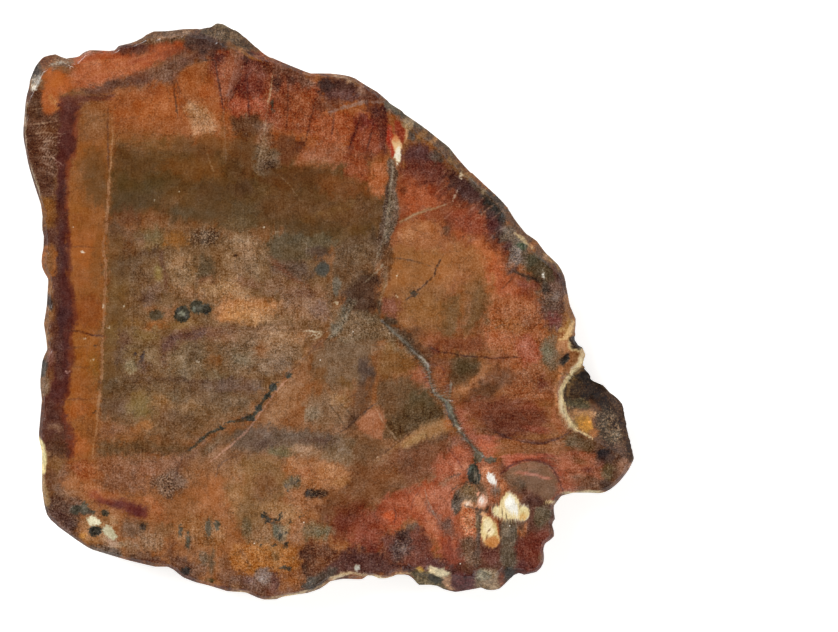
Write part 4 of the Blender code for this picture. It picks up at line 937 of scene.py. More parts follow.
b B08862 .7 .6 2 -202 -181 8 5 0
b AC8058 .7 .6 2 -184 -178 5 4 0
s 8E5A4A .6 .7 .9 124 -200 0.8 129 -206 1 134 -215 0.8
s 8A5648 .6 .6 .9 163 -200 0.8 171 -205 1 176 -215 0.8
s F0E2C4 .4 .9 .5 -85 -239 0.5 -76 -240 0.8 -70 -241 0.5
s ECDCB8 .4 .9 .5 -40 -244 0.5 -31 -242 0.8 -23 -240 0.5
s EEDDBC .4 .9 .5 3 -228 0.6 10 -225 0.8 18 -224 0.5
s EEDDBC .4 .9 .5 35 -226 0.5 44 -227 0.8 54 -226 0.5
s 584038 .5 .8 .6 -19 -240 0.5 -12 -238 0.8 -4 -234 0.5
s C4B296 .7 .7 .5 -256 178 0.6 -258 158 0.7 -257 139 0.5
s CCB89A .7 .7 .5 -254 126 0.6 -249 111 0.8 -244 98 0.5
s A8804C .5 .8 .7 221 -36 1.2 216 -47 1.2 210 -55 1.4 205 -64 1.2 203 -72 1
b D49060 .6 .8 .9 196 -55 2 7 -25
a 694F38 .6 .8 3 1 55 15 60 42 59 45 45 39 33 23 26 15 18 10 8 1 4 1 23 5 42
b 715840 .6 .6 3 27 49 10 7 0
a 745E46 .75 .8 2 8 -6 20 1 37 -1 47 -9 57 -19 61 -28 47 -26 32 -21 18 -28 5 -26
b 856A52 .75 .6 2 24 -17 7 4 20
b 8A7058 .65 .7 3 5 -1 5 6 0
b 5C4030 .5 .5 3 34 13 10 12 0
b 543518 .6 .5 7 -72 224 10 8 0
b 5A3820 .6 .5 7 112 122 11 11 0
b 46221A .5 .5 6 -235 -42 8 10 0
b BA926A .7 .5 7 -194 -184 11 10 0
a 574026 .6 .8 2 47 -93 78 -79 95 -81 101 -87 95 -93 81 -96 68 -103 56 -110 45 -110
b B27C5A .6 .5 5 132 -147 5 8 0
b 9C6E52 .6 .5 6 153 -144 6 8 0
b CA925E .65 .5 7 -72 -1 12 8 0
b 9A6E50 .65 .5 7 -92 -21 10 8 0
b 5A3216 .5 .5 6 -235 81 8 12 0
s 655644 .75 .8 1 22 8 2 15 -2 3 10 -13 3 3 -21 2 -4 -27 0.8
s 8C8270 .85 .7 .6 17 1 0.7 12 -8 1.2 7 -16 1.4 0 -22 0.7
b 4C4A44 .4 .9 1 -5 36 7 6 35
b 6A665C .55 .7 .9 7 21 4 8 0
s 8A6C4C .5 .7 .9 48 35 1 47 21 1.4 44 8 0.8
s 5A4C3E .7 .8 .9 45 -8 1.4 54 -16 3 65 -26 3 74 -36 3 81 -43 3 85 -53 1.4 88 -64 1.4 94 -72 2 101 -79 3 106 -89 3
 111 -100 3 118 -110 2 126 -121 2
a 5A3224 .5 .9 1 -244 68 -231 72 -228 52 -235 58 -243 55
a 552E24 .5 .8 1 -237 28 -228 30 -228 6 -234 9 -233 20
a 522C22 .5 .8 1 -233 -21 -225 -19 -225 -62 -232 -59 -231 -43
a 6A4A32 .65 .8 3 45 54 54 57 57 37 47 23 42 37
b AC7256 .6 .6 2 108 -147 4 6 0
b 6C2E1C .5 .6 3 91 103 8 6 0
b A8805A .7 .5 3 -113 -81 12 4 0
b 93704E .7 .5 3 -51 -64 10 4 0
b 8E7050 .7 .5 3 -133 -42 8 7 0
b E0A070 .6 .7 .7 193 -72 1 7 0
"""

CHIPS = """
# Dark beads of the pitted rings and the druse line
b 2E2A1C -1245 -24 68 68 0
b 7A7A66 -1245 -16 26 26 0
b 302C1C -1118 35 51 60 20
b 6E7264 -1143 18 17 20 0
b 2E2A1E -1041 18 42 42 0
b 4A3A22 -1466 -33 60 42 0
b 33291A 727 154 29 24 -30
b 2A2C22 -340 -543 24 24 0
b 2B2A20 -472 -645 34 34 0
b 2B2A20 -523 -721 26 26 0
b 2B2A20 -591 -823 29 26 0
b 2B2A20 -667 -908 38 26 -20
b 2B2A20 -914 -993 17 17 0
b 4A3C2C -480 1761 12 26 0
b 3E3428 -472 1710 14 17 0
# Edges of the white and cream chalcedony
a F4EFE6 1339 -1384 1364 -1367 1407 -1401 1424 -1452 1390 -1478 1356 -1444
a E6CE96 1449 -1614 1492 -1571 1534 -1537 1577 -1563 1619 -1605 1602 -1648 1636 -1673 1670 -1648 1704 -1699 1696
 -1750 1662 -1784 1585 -1758 1517 -1767 1441 -1741 1398 -1716 1390 -1673 1432 -1656 1466 -1673
a F4EFE2 1492 -1605 1534 -1554 1577 -1588 1602 -1631 1594 -1673 1628 -1699 1602 -1733 1551 -1716 1509 -1673
b CE9C54 1653 -1750 31 19 0
b EBD9A2 1653 -1682 29 20 0
b EADCAC 1432 -1699 29 20 0
b 4A3420 1517 -1745 9 8 0
b 7A5630 1619 -1648 11 8 0
b 5E4224 1483 -1716 7 7 0
a E0C488 1313 -1758 1356 -1741 1390 -1784 1424 -1826 1449 -1903 1458 -1954 1424 -1996 1364 -1996 1322 -1954 1296
 -1894 1296 -1818
a F0DEB0 1330 -1767 1364 -1767 1398 -1818 1415 -1877 1390 -1911 1339 -1894 1322 -1826
a BE7A3C 1313 -1937 1381 -1920 1449 -1928 1458 -1962 1424 -2005 1373 -2005 1330 -1971
b D8A070 1313 -1724 22 26 0
b 6A4424 1364 -1860 8 10 0
b 7A4A24 1347 -1920 10 8 0
b 5A3420 1407 -1843 7 8 0
b DCA488 1305 -1614 39 54 -30
a F4E8DC 1279 -1588 1305 -1571 1330 -1605 1322 -1639 1288 -1631
b D89070 1271 -1546 20 20 0
a D8A888 1135 -1631 1203 -1614 1237 -1639 1220 -1665 1152 -1665
b EED8C0 1177 -1639 22 10 0
a F0E8C4 -2061 -1758 -1993 -1733 -1959 -1775 -1925 -1809 -1968 -1818 -2027 -1826
a CCC4A2 -1925 -1843 -1874 -1809 -1823 -1860 -1789 -1928 -1840 -1945 -1908 -1894
b DCC8A8 1126 1149 8 22 0
b E6E0D2 1823 307 8 17 0
b E0D6C6 -2503 1897 27 19 20
b BEB0A0 -2274 2118 31 8 15
b D0C4B4 -2197 2084 15 8 20
b A8A298 -2461 1973 12 22 0
b C8BCAC -2367 2101 13 8 0
b B8B2A6 246 -2183 17 26 0
b C0A888 64 69 14 14 0
b EADFC8 591 1319 14 51 -6
# Green black spots
a 27281F 1177 -1359 1203 -1308 1254 -1291 1279 -1350 1296 -1427 1279 -1469 1228 -1469 1186 -1435
a 6C6252 1237 -1367 1262 -1350 1271 -1410 1254 -1444 1228 -1418
b 3C4A3C 1220 -1333 17 20 0
b 8A8070 1262 -1461 14 8 0
b 5C5240 1271 -1240 38 42 0
b 706650 1288 -1223 15 17 0
b 585040 1381 -1265 42 24 0
b 403A2E 1407 -1274 17 12 0
b 4A3A30 1058 -1410 22 12 0
b 5A4438 1109 -1384 12 8 0
a 2C261E 1985 -415 2019 -373 2053 -390 2027 -432 1985 -466
b 2E2C24 -1985 -1869 55 42 0
b 3C3628 -2155 -1690 42 34 0
b 48402F -2078 -1673 34 51 0
b 3A3426 -1900 -1716 29 27 0
b 3A3426 -2002 -1707 19 14 0
b 2E2C24 -557 -1733 15 24 0
b 322F28 -514 -1767 26 20 -20
b 3A362C -531 -1724 10 12 0
b 2C2A22 -446 -1775 22 13 0
b 2C2A22 -404 -1750 13 24 0
b 40382E -480 -1801 14 9 0
b 403428 -540 -1801 10 10 0
b 4A3C2E -327 -1792 11 17 0
b 453A2E -361 -1886 10 11 0
b 54483A -234 -1741 14 8 0
b 463C30 -200 -1843 10 8 0
b 302E24 -412 -1911 15 24 0
b 4A4436 -438 -1869 12 15 0
b 3A2E1E -361 -1988 26 20 40
b 3C3020 -463 -1988 20 12 0
b 3C3020 -570 -1988 10 12 0
b 42382C -353 -2183 42 14 -10
b 2E2620 -174 -1537 17 20 0
b 342A22 -123 -1563 14 10 0
b 584636 -361 -1486 22 17 0
b 604E3C -302 -1461 27 17 30
b 4E4A3A -319 -1410 8 20 0
b 46423A -259 -1444 15 10 0
b 4A4236 -344 -1529 10 8 0
b 48402F -948 -1818 20 42 0
b 584C3A -1024 -1843 22 68 0
b 423A2C -1262 -1869 17 42 0
b 4C4636 -1194 -1954 15 60 0
b 3E2E22 -1577 -1835 26 26 0
b 2E2824 -1211 -2209 37 31 0
b 40302C -1585 -398 14 42 -14
b 443430 -1645 -364 12 12 0
# Small crystals
b F0E6D4 -2087 503 10 8 0
b E6D6BE -1917 44 8 9 0
b E0D0B6 -1738 52 7 6 0
b EADCC8 -1874 -135 8 7 0
b E4D4BC -2002 -415 8 7 0
b D8C0A2 -2061 -228 7 6 0
b E0D2BC -1475 953 7 8 0
b DCCCB4 -1271 1021 7 7 0
b E8DCC8 -438 673 7 7 0
b DCCCB4 -557 715 7 6 0
b E4D6C0 -1118 -432 8 7 0
b D0A494 -2223 -517 14 8 0
b 4A3426 -1985 -296 10 8 0
b 4A3426 -1951 -611 10 8 0
b 4E3828 -1985 -857 9 8 0
b 4A3426 -786 477 12 7 0
b D8C8AC 582 299 7 7 0
b D8C4A4 574 129 8 7 0
b 54301E 1135 630 10 8 0
b E8C8AC 421 -1240 9 8 0
"""

# The bright cream line along the broken corner's lip is partly a painted highlight.
PALE_LINES = """
# Light seams of clear quartz
s B4804E .7 .02 -1840 1642 3 -1836 1455 6 -1853 1242 7 -1866 1072 9 -1878 902 10 -1887 707 10 -1912 605 9 -1921 520
 13 -1891 418 12 -1896 222 12 -1908 10 10 -1917 -160 8 -1925 -330 10 -1925 -500 11 -1942 -670 9 -1959 -823 10 -1976
 -1010 8 -2010 -1231 5
s A8846A .25 0 -897 1727 5 -888 1625 8 -880 1455 8 -871 1268 6
s AC7E6A .3 0 -786 2169 5 -812 2016 8 -846 1880 8 -880 1761 5
s C4A67C .65 0 -480 1982 6 -489 1897 9 -506 1812 9 -514 1752 7
s B0906C .28 0 -514 1769 7 -523 1693 7 -540 1557 6 -548 1455 6 -582 1327 6 -608 1200 4
s 8E746A .6 0 13 1693 8 140 1735 15 310 1778 15 472 1778 8
s A89A80 .3 .02 523 1710 4 523 1540 6 531 1370 7 540 1157 7 523 987 8 497 826 8 480 673 8 446 554 8 404 435 7
s A88A68 .6 0 608 758 6 761 834 8 863 860 6 999 911 4
s BFA488 .7 0 1092 1013 5 1075 979 7 1058 945 4
s A08468 .5 0 497 367 6 497 248 8 463 154 8 438 69 5
s B09070 .5 0 421 -857 4 480 -968 7 582 -1095 5
s C48A70 .6 0 -361 -585 5 -455 -696 7 -565 -849 8 -684 -1010 8 -837 -1146 8 -1007 -1282 5
s 96806E .5 0 820 -1520 4 837 -1605 6 880 -1690 7 931 -1775 6
s EED49C .8 .02 2197 -381 8 2138 -449 17 2087 -509 17 2027 -577 19 1985 -653 19 1976 -721 17 2002 -789 14 2019 -866
 13 2053 -942 12 2112 -1010 10 2223 -1070 6
s B08A66 .6 0 -2529 1582 3 -2418 1599 7 -2316 1616 3
s A8805C .6 0 -2503 1506 3 -2401 1523 8 -2265 1506 3
s B48E70 .7 0 -2452 1438 3 -2367 1446 8 -2282 1429 3
s A8866C .6 0 -2503 1378 3 -2401 1387 8 -2316 1370 3
s B8947A .7 0 -2435 1319 3 -2350 1310 8 -2282 1259 3
s A07C62 .6 0 -2469 1259 3 -2384 1251 7 -2325 1208 3
s 9A7458 .5 0 -2418 1191 3 -2350 1166 7 -2299 1123 3
s A47C58 .5 0 -2520 1710 3 -2452 1727 6 -2401 1735 3
s C4926E .35 0 1135 792 3 1254 902 5 1356 996 3
s C4926E .4 0 1203 741 3 1330 851 5 1449 928 3
s BC8A6A .35 0 1271 690 3 1390 783 5 1483 860 3
s C08C68 .35 0 982 783 3 1092 877 5 1186 953 3
s B0866C .3 0 1356 605 3 1441 681 5 1526 724 3
s C09070 .3 0 880 979 3 973 1047 5 1050 1089 3
s B08C62 .4 0 -1041 1370 3 -1007 1268 5 -973 1183 3
s B08E66 .35 0 -412 1149 3 -344 1081 5 -259 979 3
s A8987C .5 0 480 418 5 412 333 8 319 256 4
# Grey filled open joint
s 6E6758 .7 .3 463 -92 7 523 -143 10 582 -203 12 650 -262 14 718 -330 15 761 -373 17
s 7E7868 .8 .3 761 -373 17 812 -424 20 837 -466 14 854 -526 8 863 -585 6 880 -653 6 905 -704 7
s 6E6C58 .85 .3 948 -730 8 999 -772 14 1033 -823 19 1041 -874 22 1067 -934 22 1101 -993 17
s 5E5A48 .8 .26 1126 -1027 10 1169 -1087 8 1220 -1146 8 1271 -1197 12 1305 -1223 12
s 847E70 .7 .2 1041 -619 7 1033 -687 11 1016 -764 10
s BDB5A2 .6 .2 727 -339 3 778 -381 4 829 -424 7 846 -449 4
s D6C6A8 .8 0 -208 -169 4 -132 -169 9 -55 -177 5
s C4B294 .7 0 -140 -245 4 -89 -220 8 -47 -194 5
s B8AC94 .7 0 1075 -959 4 1109 -1010 7 1126 -1027 3
"""

DARK_LINES = """
# Dark cracks and fibres
s 2E2C20 .9 .03 -455 -619 10 -523 -721 14 -574 -789 12 -625 -874 14 -684 -908 17 -778 -934 12 -854 -942 8
s 302E22 .9 .03 -905 -993 8 -956 -1010 12 -1007 -1036 14 -1058 -1078 15 -1101 -1104 14 -1135 -1146 12 -1186 -1180 8
s 6A4630 .7 .05 -55 -245 4 -200 -390 7 -344 -534 8 -404 -585 6
s 7A4420 .6 0 -1866 1098 3 -1878 902 5 -1887 707 5 -1912 605 5 -1921 520 7 -1891 418 5 -1896 222 5 -1908 10 4 -1925
 -330 4 -1925 -500 4 -1959 -823 3
s 5A3420 .7 0 -1874 1727 4 -1878 1540 8 -1874 1370 8 -1874 1234 5
s 5A2E14 .5 0 -2197 545 4 -2095 554 7 -1985 537 4
s 4E2410 .9 .03 -2231 -160 4 -2129 -169 8 -2010 -203 8 -1908 -211 5
s 6A3A18 .6 0 -2163 -475 3 -2070 -483 7 -2010 -466 3
s 6A3412 .7 0 -2282 -755 3 -2146 -747 8 -1993 -747 4
s 5E3418 .6 0 -2180 -313 3 -2129 -305 7 -2078 -296 3
s 4E2A14 .85 0 -1330 1965 4 -1305 1837 8 -1288 1693 6
s 5A3018 .7 0 -1296 1965 3 -1262 1863 5
s 3C2418 .8 0 -1109 2126 4 -990 2135 7
s 4A2216 .85 0 -965 2135 5 -931 1931 10 -897 1744 7
s 4A2216 .75 0 -718 2135 5 -752 1965 8 -829 1795 5
s 4E2016 .9 0 -693 1982 6 -684 1829 9 -676 1667 6
s 542812 .85 0 -344 1965 5 -344 1752 8 -361 1557 5
s 542812 .8 0 -106 1812 5 -149 1642 8 -191 1455 5
s 54200E .7 0 47 1693 4 38 1574 8 21 1455 4
s 4A1E12 .8 0 387 1642 4 361 1506 8 327 1370 5
s 481E14 .8 0 268 1642 5 225 1523 8 183 1404 5
s 3E200C .85 0 965 460 4 914 367 7 897 299 6 820 231 6 761 180 8 710 129 8 659 95 4
s 5A2E1A .8 0 1483 197 3 1526 239 6 1568 290 3
s 401E12 .8 0 863 -305 4 931 -347 7 1033 -356 6 1160 -381 6 1288 -390 7 1415 -402 6 1526 -394 8 1594 -390 5
s 50382A .6 0 565 452 4 693 435 8 863 384 4
s 40281E .8 0 98 -1036 4 183 -968 8 285 -866 7 404 -781 4
s 4A3226 .8 0 1160 -1656 4 1271 -1682 8 1373 -1716 6
s 4A2A22 .8 0 1415 -1019 4 1526 -1078 8 1628 -1104 8 1798 -1129 8 1968 -1078 7 2070 -1010 4
s 5A4034 .7 0 -769 -1231 3 -880 -1265 6 -939 -1325 6 -956 -1418 3
s 5A3A2C .7 0 -1211 -1180 3 -1262 -1282 7 -1313 -1452 3
s 6A4A32 .6 0 1356 -169 3 1432 -135 5 1509 -92 3
s 3A3028 .8 .05 999 -789 5 1024 -874 8 1058 -959 7
s 5E2A22 .7 0 948 -568 3 999 -517 5 948 -466 5 863 -449 3
s 7A3426 .7 0 761 -466 3 812 -551 6 863 -653 3
s 6E342A .7 0 1016 -1163 3 1084 -1248 7 1135 -1333 3
s 54301E .6 0 370 -1291 3 489 -1197 5 608 -1104 5 727 -1010 3
s 54281E .7 0 557 -1673 3 574 -1724 7 565 -1784 4
s 6A3426 .6 0 701 -1707 3 718 -1605 6 778 -1520 3
s 8A5C34 .7 0 2155 -347 4 2061 -466 7 1976 -568 7 1925 -670 6 1917 -772 6 1951 -883 6 2019 -993 5
s 4A2420 .7 0 1458 -1384 4 1543 -1316 8 1662 -1265 8 1798 -1274 8 1891 -1316 8 1951 -1418 8 1993 -1520 5
s 4E3A30 .7 0 1449 -1767 4 1458 -1911 7 1466 -2081 5
s 46362C .6 0 1628 -1843 4 1602 -1962 7 1585 -2115 5
s 3E3026 .7 0 1050 -1520 4 1101 -1478 7 1186 -1452 7 1288 -1469 5
s 43301E .6 0 13 -806 3 81 -883 6 140 -976 4
s 43301E .6 0 98 -781 3 166 -849 6 217 -917 4
s 6A4A30 .5 0 -89 -789 3 13 -908 6 98 -1019 4
s 94703C .6 0 2172 -449 3 2095 -551 6 2053 -645 6 2036 -755 5 2061 -857 4
"""

# Colour of the stone wherever no mineral is painted.
GROUND = "7A5436"

# Which way the fibres run: a blob's middle and half widths, where they rise to the right or lie
# level. Elsewhere they stand upright. FIBRE_TURNS are the turns from upright, in degrees.
FIBRE_TURNS = (0, -45, 90)
RISING_FIBRES = ((10.8, 9.0, 5.4, 4.4), (-8.6, -11.0, 4.6, 2.4), (3.5, -14.4, 6.4, 3.2))
LEVEL_FIBRES = ((-24.6, 13.6, 2.4, 7.5), (17.0, -10.0, 7.5, 4.2), (-7.5, -2.5, 8.5, 1.8))

# Part of the face that is broken away: its outline, and the dishes in it: middle, half widths
# and depth.
BROKEN_CORNER = (
    (21.9, -3.3), (21.7, -4.2), (21.1, -4.8), (20.4, -5.5), (19.8, -6.4), (19.6, -7.2),
    (19.8, -8.0), (20.0, -8.9), (20.3, -9.7), (21.1, -10.3), (22.2, -10.8), (23.4, -11.5),
    (24.5, -12.1), (25.4, -12.9), (27.5, -13.4), (28.5, -8.0), (26.5, -3.0))
DISHES = (
    (21.7, -6.5, 1.9, 1.7, 1.5), (24.2, -7.4, 1.9, 1.6, 0.9), (21.4, -2.7, 0.9, 0.6, 1.1),
    (24.6, -10.4, 1.6, 1.5, 0.4))
WALL_STEEPENS = (-12.4, -9.6)  # between these two y the broken corner's wall grows steep

# The bark is set back from the crest by SETBACK millimetres at least and at most. Round the broken
# corner, whose bearing and half spread are in radians, it is set back by BROKEN_SETBACK.
SETBACK = (0.12, 1.7)
BROKEN_SETBACK = 0.25
BROKEN_BEARING = -0.36
BROKEN_SPREAD = 0.26

# Small open pits: middle and half width.
PITS = (
    (-12.4, -0.1, 0.55), (-10.7, 0.0, 0.5), (-14.7, -0.2, 0.36), (-4.6, -6.4, 0.36),
    (-5.9, -8.2, 0.3), (-7.0, -9.2, 0.4), (-10.9, -11.0, 0.5), (-21.0, -16.5, 0.5),
    (-19.2, -17.2, 0.3), (-19.8, -18.6, 0.55), (-9.4, -18.1, 0.4), (-5.4, -17.8, 0.4),
    (-3.5, -19.9, 0.32), (12.3, -13.8, 0.6))

FAR = 0.7  # beyond this many millimetres a line or chip has no say over a point
NEIGHBOUR_REACH = 0.5  # how far apart the two readings of the minerals are, for noise of about 1

# The UV map: the face and the back as seen from above, each moved by UV_CORNER millimetres and
# then scaled, and the rim as RIM_STRIPS strips over the face.
UV_CORNER = (26.2, 24.8)
FACE_UV = 0.0153
BACK_UV = 0.0034
BACK_UV_PLACE = (0.815, 0.01)
RIM_STRIPS = 3
RIM_UV_START = (0.01, 0.775)
RIM_UV_SPAN = (0.97, 0.074)
RIM_UV_FILL = 0.94  # how much of its strip's height the rim takes up


def table_rows(text, numbers, unit):
    """Rows of a table: kind of shape, colour, some numbers, and the shape in millimetres."""
    rows = []
    for line in text.replace("\n ", " ").splitlines():
        if line and not line.startswith("#"):
            kind, code, *values = line.split()
            values = np.array(values, float)
            rows.append((kind, code, *values[:numbers], ready(kind, values[numbers:], unit)))
    return rows


def linear(code):
    """A hex colour as linear red, green and blue.

    Each channel over 0.04045 is shifted, scaled and raised to the power 2.4, and a darker one
    is divided by 12.92.
    """
    channel = np.array([int(code[k:k + 2], 16) for k in (0, 2, 4)]) / 255
    return np.where(channel > 0.04045, ((channel + 0.055) / 1.055) ** 2.4, channel / 12.92)


def smooth_step(low, high, value):
    """0 up to low and 1 from high, with the curve 3t^2 - 2t^3 of the share t between them."""
    share = np.clip((value - low) / (high - low), 0, 1)
    return share * share * (3 - 2 * share)


def gradient_noise(points, seed):
    """Smooth noise of about -1 to 1 at points given in lattice cells.

    At each of a cell's eight corners a random direction is dotted with the way from the corner
    to the point, and the eight results are blended by 6t^5 - 15t^4 + 10t^3 along each axis.
    """
    random = np.random.RandomState(seed)
    table = random.permutation(256)
    ways = random.normal(size=(256, 3))
    ways /= np.linalg.norm(ways, axis=1, keepdims=True)
    cell = np.floor(points).astype(int)
    part = points - cell
    blend = part**3 * (part * (part * 6 - 15) + 10)
    total = np.zeros(len(points))
    for corner in itertools.product((0, 1), repeat=3):
        at = cell + corner
        key = table[(at[:, 0]) & 255]
        key = table[(key + at[:, 1]) & 255]
        key = table[(key + at[:, 2]) & 255]
        share = np.prod(np.where(corner, blend, 1 - blend), axis=1)
        total += share * np.einsum("ij,ij->i", ways[key], part - corner)
    return total * 1.6


def grain(points, size, seed, octaves=2):
    """Noise whose largest lumps are size wide: each octave is half as wide and half as strong.

    Each use has a seed of its own, so that no two noises run together.
    """
    points = np.column_stack([points, np.zeros((len(points), 3 - points.shape[1]))])
    return sum(gradient_noise(points * 2**k / size, seed + k) / 2**k for k in range(octaves))


def line_field(points, route):
    """Distance to a route, the side of it, and its half width there.

    The foot on each straight stretch is clamped to the stretch, the nearest stretch wins, the
    sign of the cross product gives the side, and the half width runs evenly along the stretch.
    """
    nearest = np.full(len(points), np.inf)
    side, half = np.ones(len(points)), np.zeros(len(points))
    for start, end in zip(route, route[1:]):
        way = (end - start)[:2]
        share = np.clip((points - start[:2]) @ way / max(way @ way, 1e-9), 0, 1)
        away = points - start[:2] - share[:, None] * way
        distance = np.hypot(away[:, 0], away[:, 1])
        closer = distance < nearest
        nearest = np.where(closer, distance, nearest)
        side = np.where(closer, np.where(way[0] * away[:, 1] < way[1] * away[:, 0], -1, 1), side)
        if len(start) == 3:
            half = np.where(closer, start[2] + share * (end[2] - start[2]), half)
    return nearest, side, half


def area_gap(points, outline):
    """Distance to a closed outline, negative inside.

    A point is inside where a level ray from it crosses the outline an odd number of times.
    """
    x, y = points.T
    inside = np.zeros(len(points), bool)
    for (x0, y0), (x1, y1) in zip(outline, np.roll(outline, -1, axis=0)):
        if y0 != y1:
            inside ^= ((y0 > y) != (y1 > y)) & (x < (x1 - x0) * (y - y0) / (y1 - y0) + x0)
    nearest = line_field(points, np.vstack([outline, outline[:1]]))[0]
    return np.where(inside, -nearest, nearest)


def blob_gap(points, blob):
    """About the distance to an ellipse, negative inside.

    The way from its middle is turned and scaled to a unit circle, and its length less one is
    multiplied by the narrow half width.
    """
    x, y, wide, high, turn = blob
    angle = math.radians(turn)
    away = points - (x, y)
    along = away @ (math.cos(angle), math.sin(angle))
    across = away @ (-math.sin(angle), math.cos(angle))
    return (np.hypot(along / wide, across / high) - 1) * min(wide, high)


def streak_gap(points, streak):
    """Distance to a route less its half width there."""
    distance, _, half = line_field(points, streak)
    return distance - half


GAPS = {"a": area_gap, "b": blob_gap, "s": streak_gap}


def rounded(outline, times=2):
    """A closed outline with its corners cut.

    Each side keeps the points at a quarter and three quarters of it, and that is done again.
    """
    for _ in range(times):
        after = np.roll(outline, -1, axis=0)
        kept = [0.75 * outline + 0.25 * after, 0.25 * outline + 0.75 * after]
        outline = np.stack(kept, axis=1).reshape(-1, 2)
    return outline


def ready(kind, shape, unit):
    """A table's shape in millimetres.

    A blob stays one row, an area becomes an outline with its corners cut, and a route has rows
    of three.
    """
    if kind == "b":
        return shape * (unit, unit, unit, unit, 1)
    rows = shape.reshape(-1, 2 if kind == "a" else 3) * unit
    return rounded(rows) if kind == "a" else rows


def near(points, kind, shape, reach):
    """Which points lie within reach of the box round a shape."""
    if kind == "b":
        low, high = shape[:2] - shape[2:4].max(), shape[:2] + shape[2:4].max()
    else:
        low, high = shape[:, :2].min(axis=0), shape[:, :2].max(axis=0)
        if kind == "s":
            low, high = low - shape[:, 2].max(), high + shape[:, 2].max()
    return np.flatnonzero(((points > low - reach) & (points < high + reach)).all(axis=1))


def along_fibres(points, shares, across, along, seed):
    """Noise drawn out along the fibres: upright, rising and level noises, mixed by their shares."""
    total = np.zeros(len(points))
    for turn, share in zip(FIBRE_TURNS, shares.T):
        angle = math.radians(turn)
        level = points @ (math.cos(angle), math.sin(angle)) / across
        upright = points @ (-math.sin(angle), math.cos(angle)) / along
        total += share * grain(np.column_stack([level, upright]), 1.0, seed)
    return total


def mineral_tones(points, apart):
    """Tone and grit of the soft minerals at points on the face.

    A tone is the square root of a linear colour, nearer to the way the eye sees. Noise pushes
    the points about, the more so the softer the mineral's edge is, and streaks along the fibres
    feather that edge. A soft mineral is read at its place moved by apart, and a crisp one nearly
    where it is. Each mineral in turn covers what is under it by a smooth step across its edge.
    """
    wide = np.column_stack([grain(points, 3.4, seed) for seed in (11, 31)])
    fine = np.column_stack([grain(points, 1.1, seed, 3) for seed in (17, 37)])
    feather = along_fibres(points, fibre_shares(points), 0.42, 2.4, 41)
    tone = np.tile(np.sqrt(linear(GROUND)), (len(points), 1))
    grit = np.full(len(points), 0.4)
    for kind, code, gritty, strength, softness, shape in table_rows(MINERALS, 3, 0.1):
        soft = 0.1 * softness
        blur = min(soft, 0.8)
        touched = near(points, kind, shape, 1.6 * soft + 0.5)
        push = blur * (0.45 * wide[touched] + 0.5 * fine[touched]) + 0.08 * fine[touched]
        push += apart[touched] * min(1, 3 * soft)
        inside = 0.7 * blur * feather[touched] - GAPS[kind](points[touched] + push, shape)
        cover = strength * smooth_step(-soft, soft, inside)
        tone[touched] += cover[:, None] * (np.sqrt(linear(code)) - tone[touched])
        grit[touched] += cover * (gritty - grit[touched])
    return tone, grit


def chip_field(points):
    """Gap to the nearest crisp chip, negative inside, and that chip's tone.

    The smallest distance wins, and a later chip lies over an earlier one.
    """
    push = [0.05 * grain(points, 0.45, seed) for seed in (51, 61)]
    moved = points + np.column_stack(push)
    gap = np.full(len(points), FAR)
    tone = np.zeros((len(points), 3))
    for kind, code, shape in table_rows(CHIPS, 0, 0.01):
        touched = near(moved, kind, shape, FAR)
        own = GAPS[kind](moved[touched], shape)
        wins = (own < gap[touched]) | (own < 0)
        tone[touched[wins]] = np.sqrt(linear(code))
        gap[touched] = np.minimum(gap[touched], own)
    return gap, tone


def thin_lines(points, lines):
    """Signed offset from the nearest of some lines, its half width, its cover and its tone.

    The sign is the side of the line, so that the offset runs evenly through zero between two
    mesh points. The half width fades to nothing away from the line.
    """
    push = [0.05 * grain(points, 0.7, seed) for seed in (71, 81)]
    moved = points + np.column_stack(push)
    offset, half = np.full(len(points), FAR), np.zeros(len(points))
    strength, tone = np.zeros(len(points)), np.zeros((len(points), 3))
    for kind, code, covers, depth, route in table_rows(lines, 2, 0.01):
        touched = near(moved, kind, route, FAR)
        distance, side, width = line_field(moved[touched], route)
        wins = distance < np.abs(offset[touched])
        chosen = touched[wins]
        offset[chosen] = (distance * side)[wins]
        half[chosen] = (width * (1 - smooth_step(0.25, 0.5, distance - width)))[wins]
        strength[chosen] = covers
        tone[chosen] = np.sqrt(linear(code))
    return offset, half, strength, tone


def fibre_shares(points):
    """Share of upright, rising and level fibres at each point.

    Rising and level ones fade by a smooth step of the scaled distance from their blobs' middles,
    and the rest stand upright.
    """
    shares = []
    for blobs in (RISING_FIBRES, LEVEL_FIBRES):
        share = np.zeros(len(points))
        for x, y, wide, high in blobs:
            away = np.hypot((points[:, 0] - x) / wide, (points[:, 1] - y) / high)
            share = np.maximum(share, 1 - smooth_step(0.6, 1.3, away))
        shares.append(share)
    rising = shares[0]
    level = shares[1] * (1 - rising)
    return np.column_stack([1 - rising - level, rising, level])


def bearings(place=np.arange(EDGE_POINTS)):
    """Bearing of places on the edge, evenly spread from the lower right diagonal round."""
    return (place / EDGE_POINTS - 0.125) * 2 * math.pi


def rays(bearing):
    """Level ways of length one along some bearings: their cosines and sines."""
    return np.column_stack([np.cos(bearing), np.sin(bearing)])


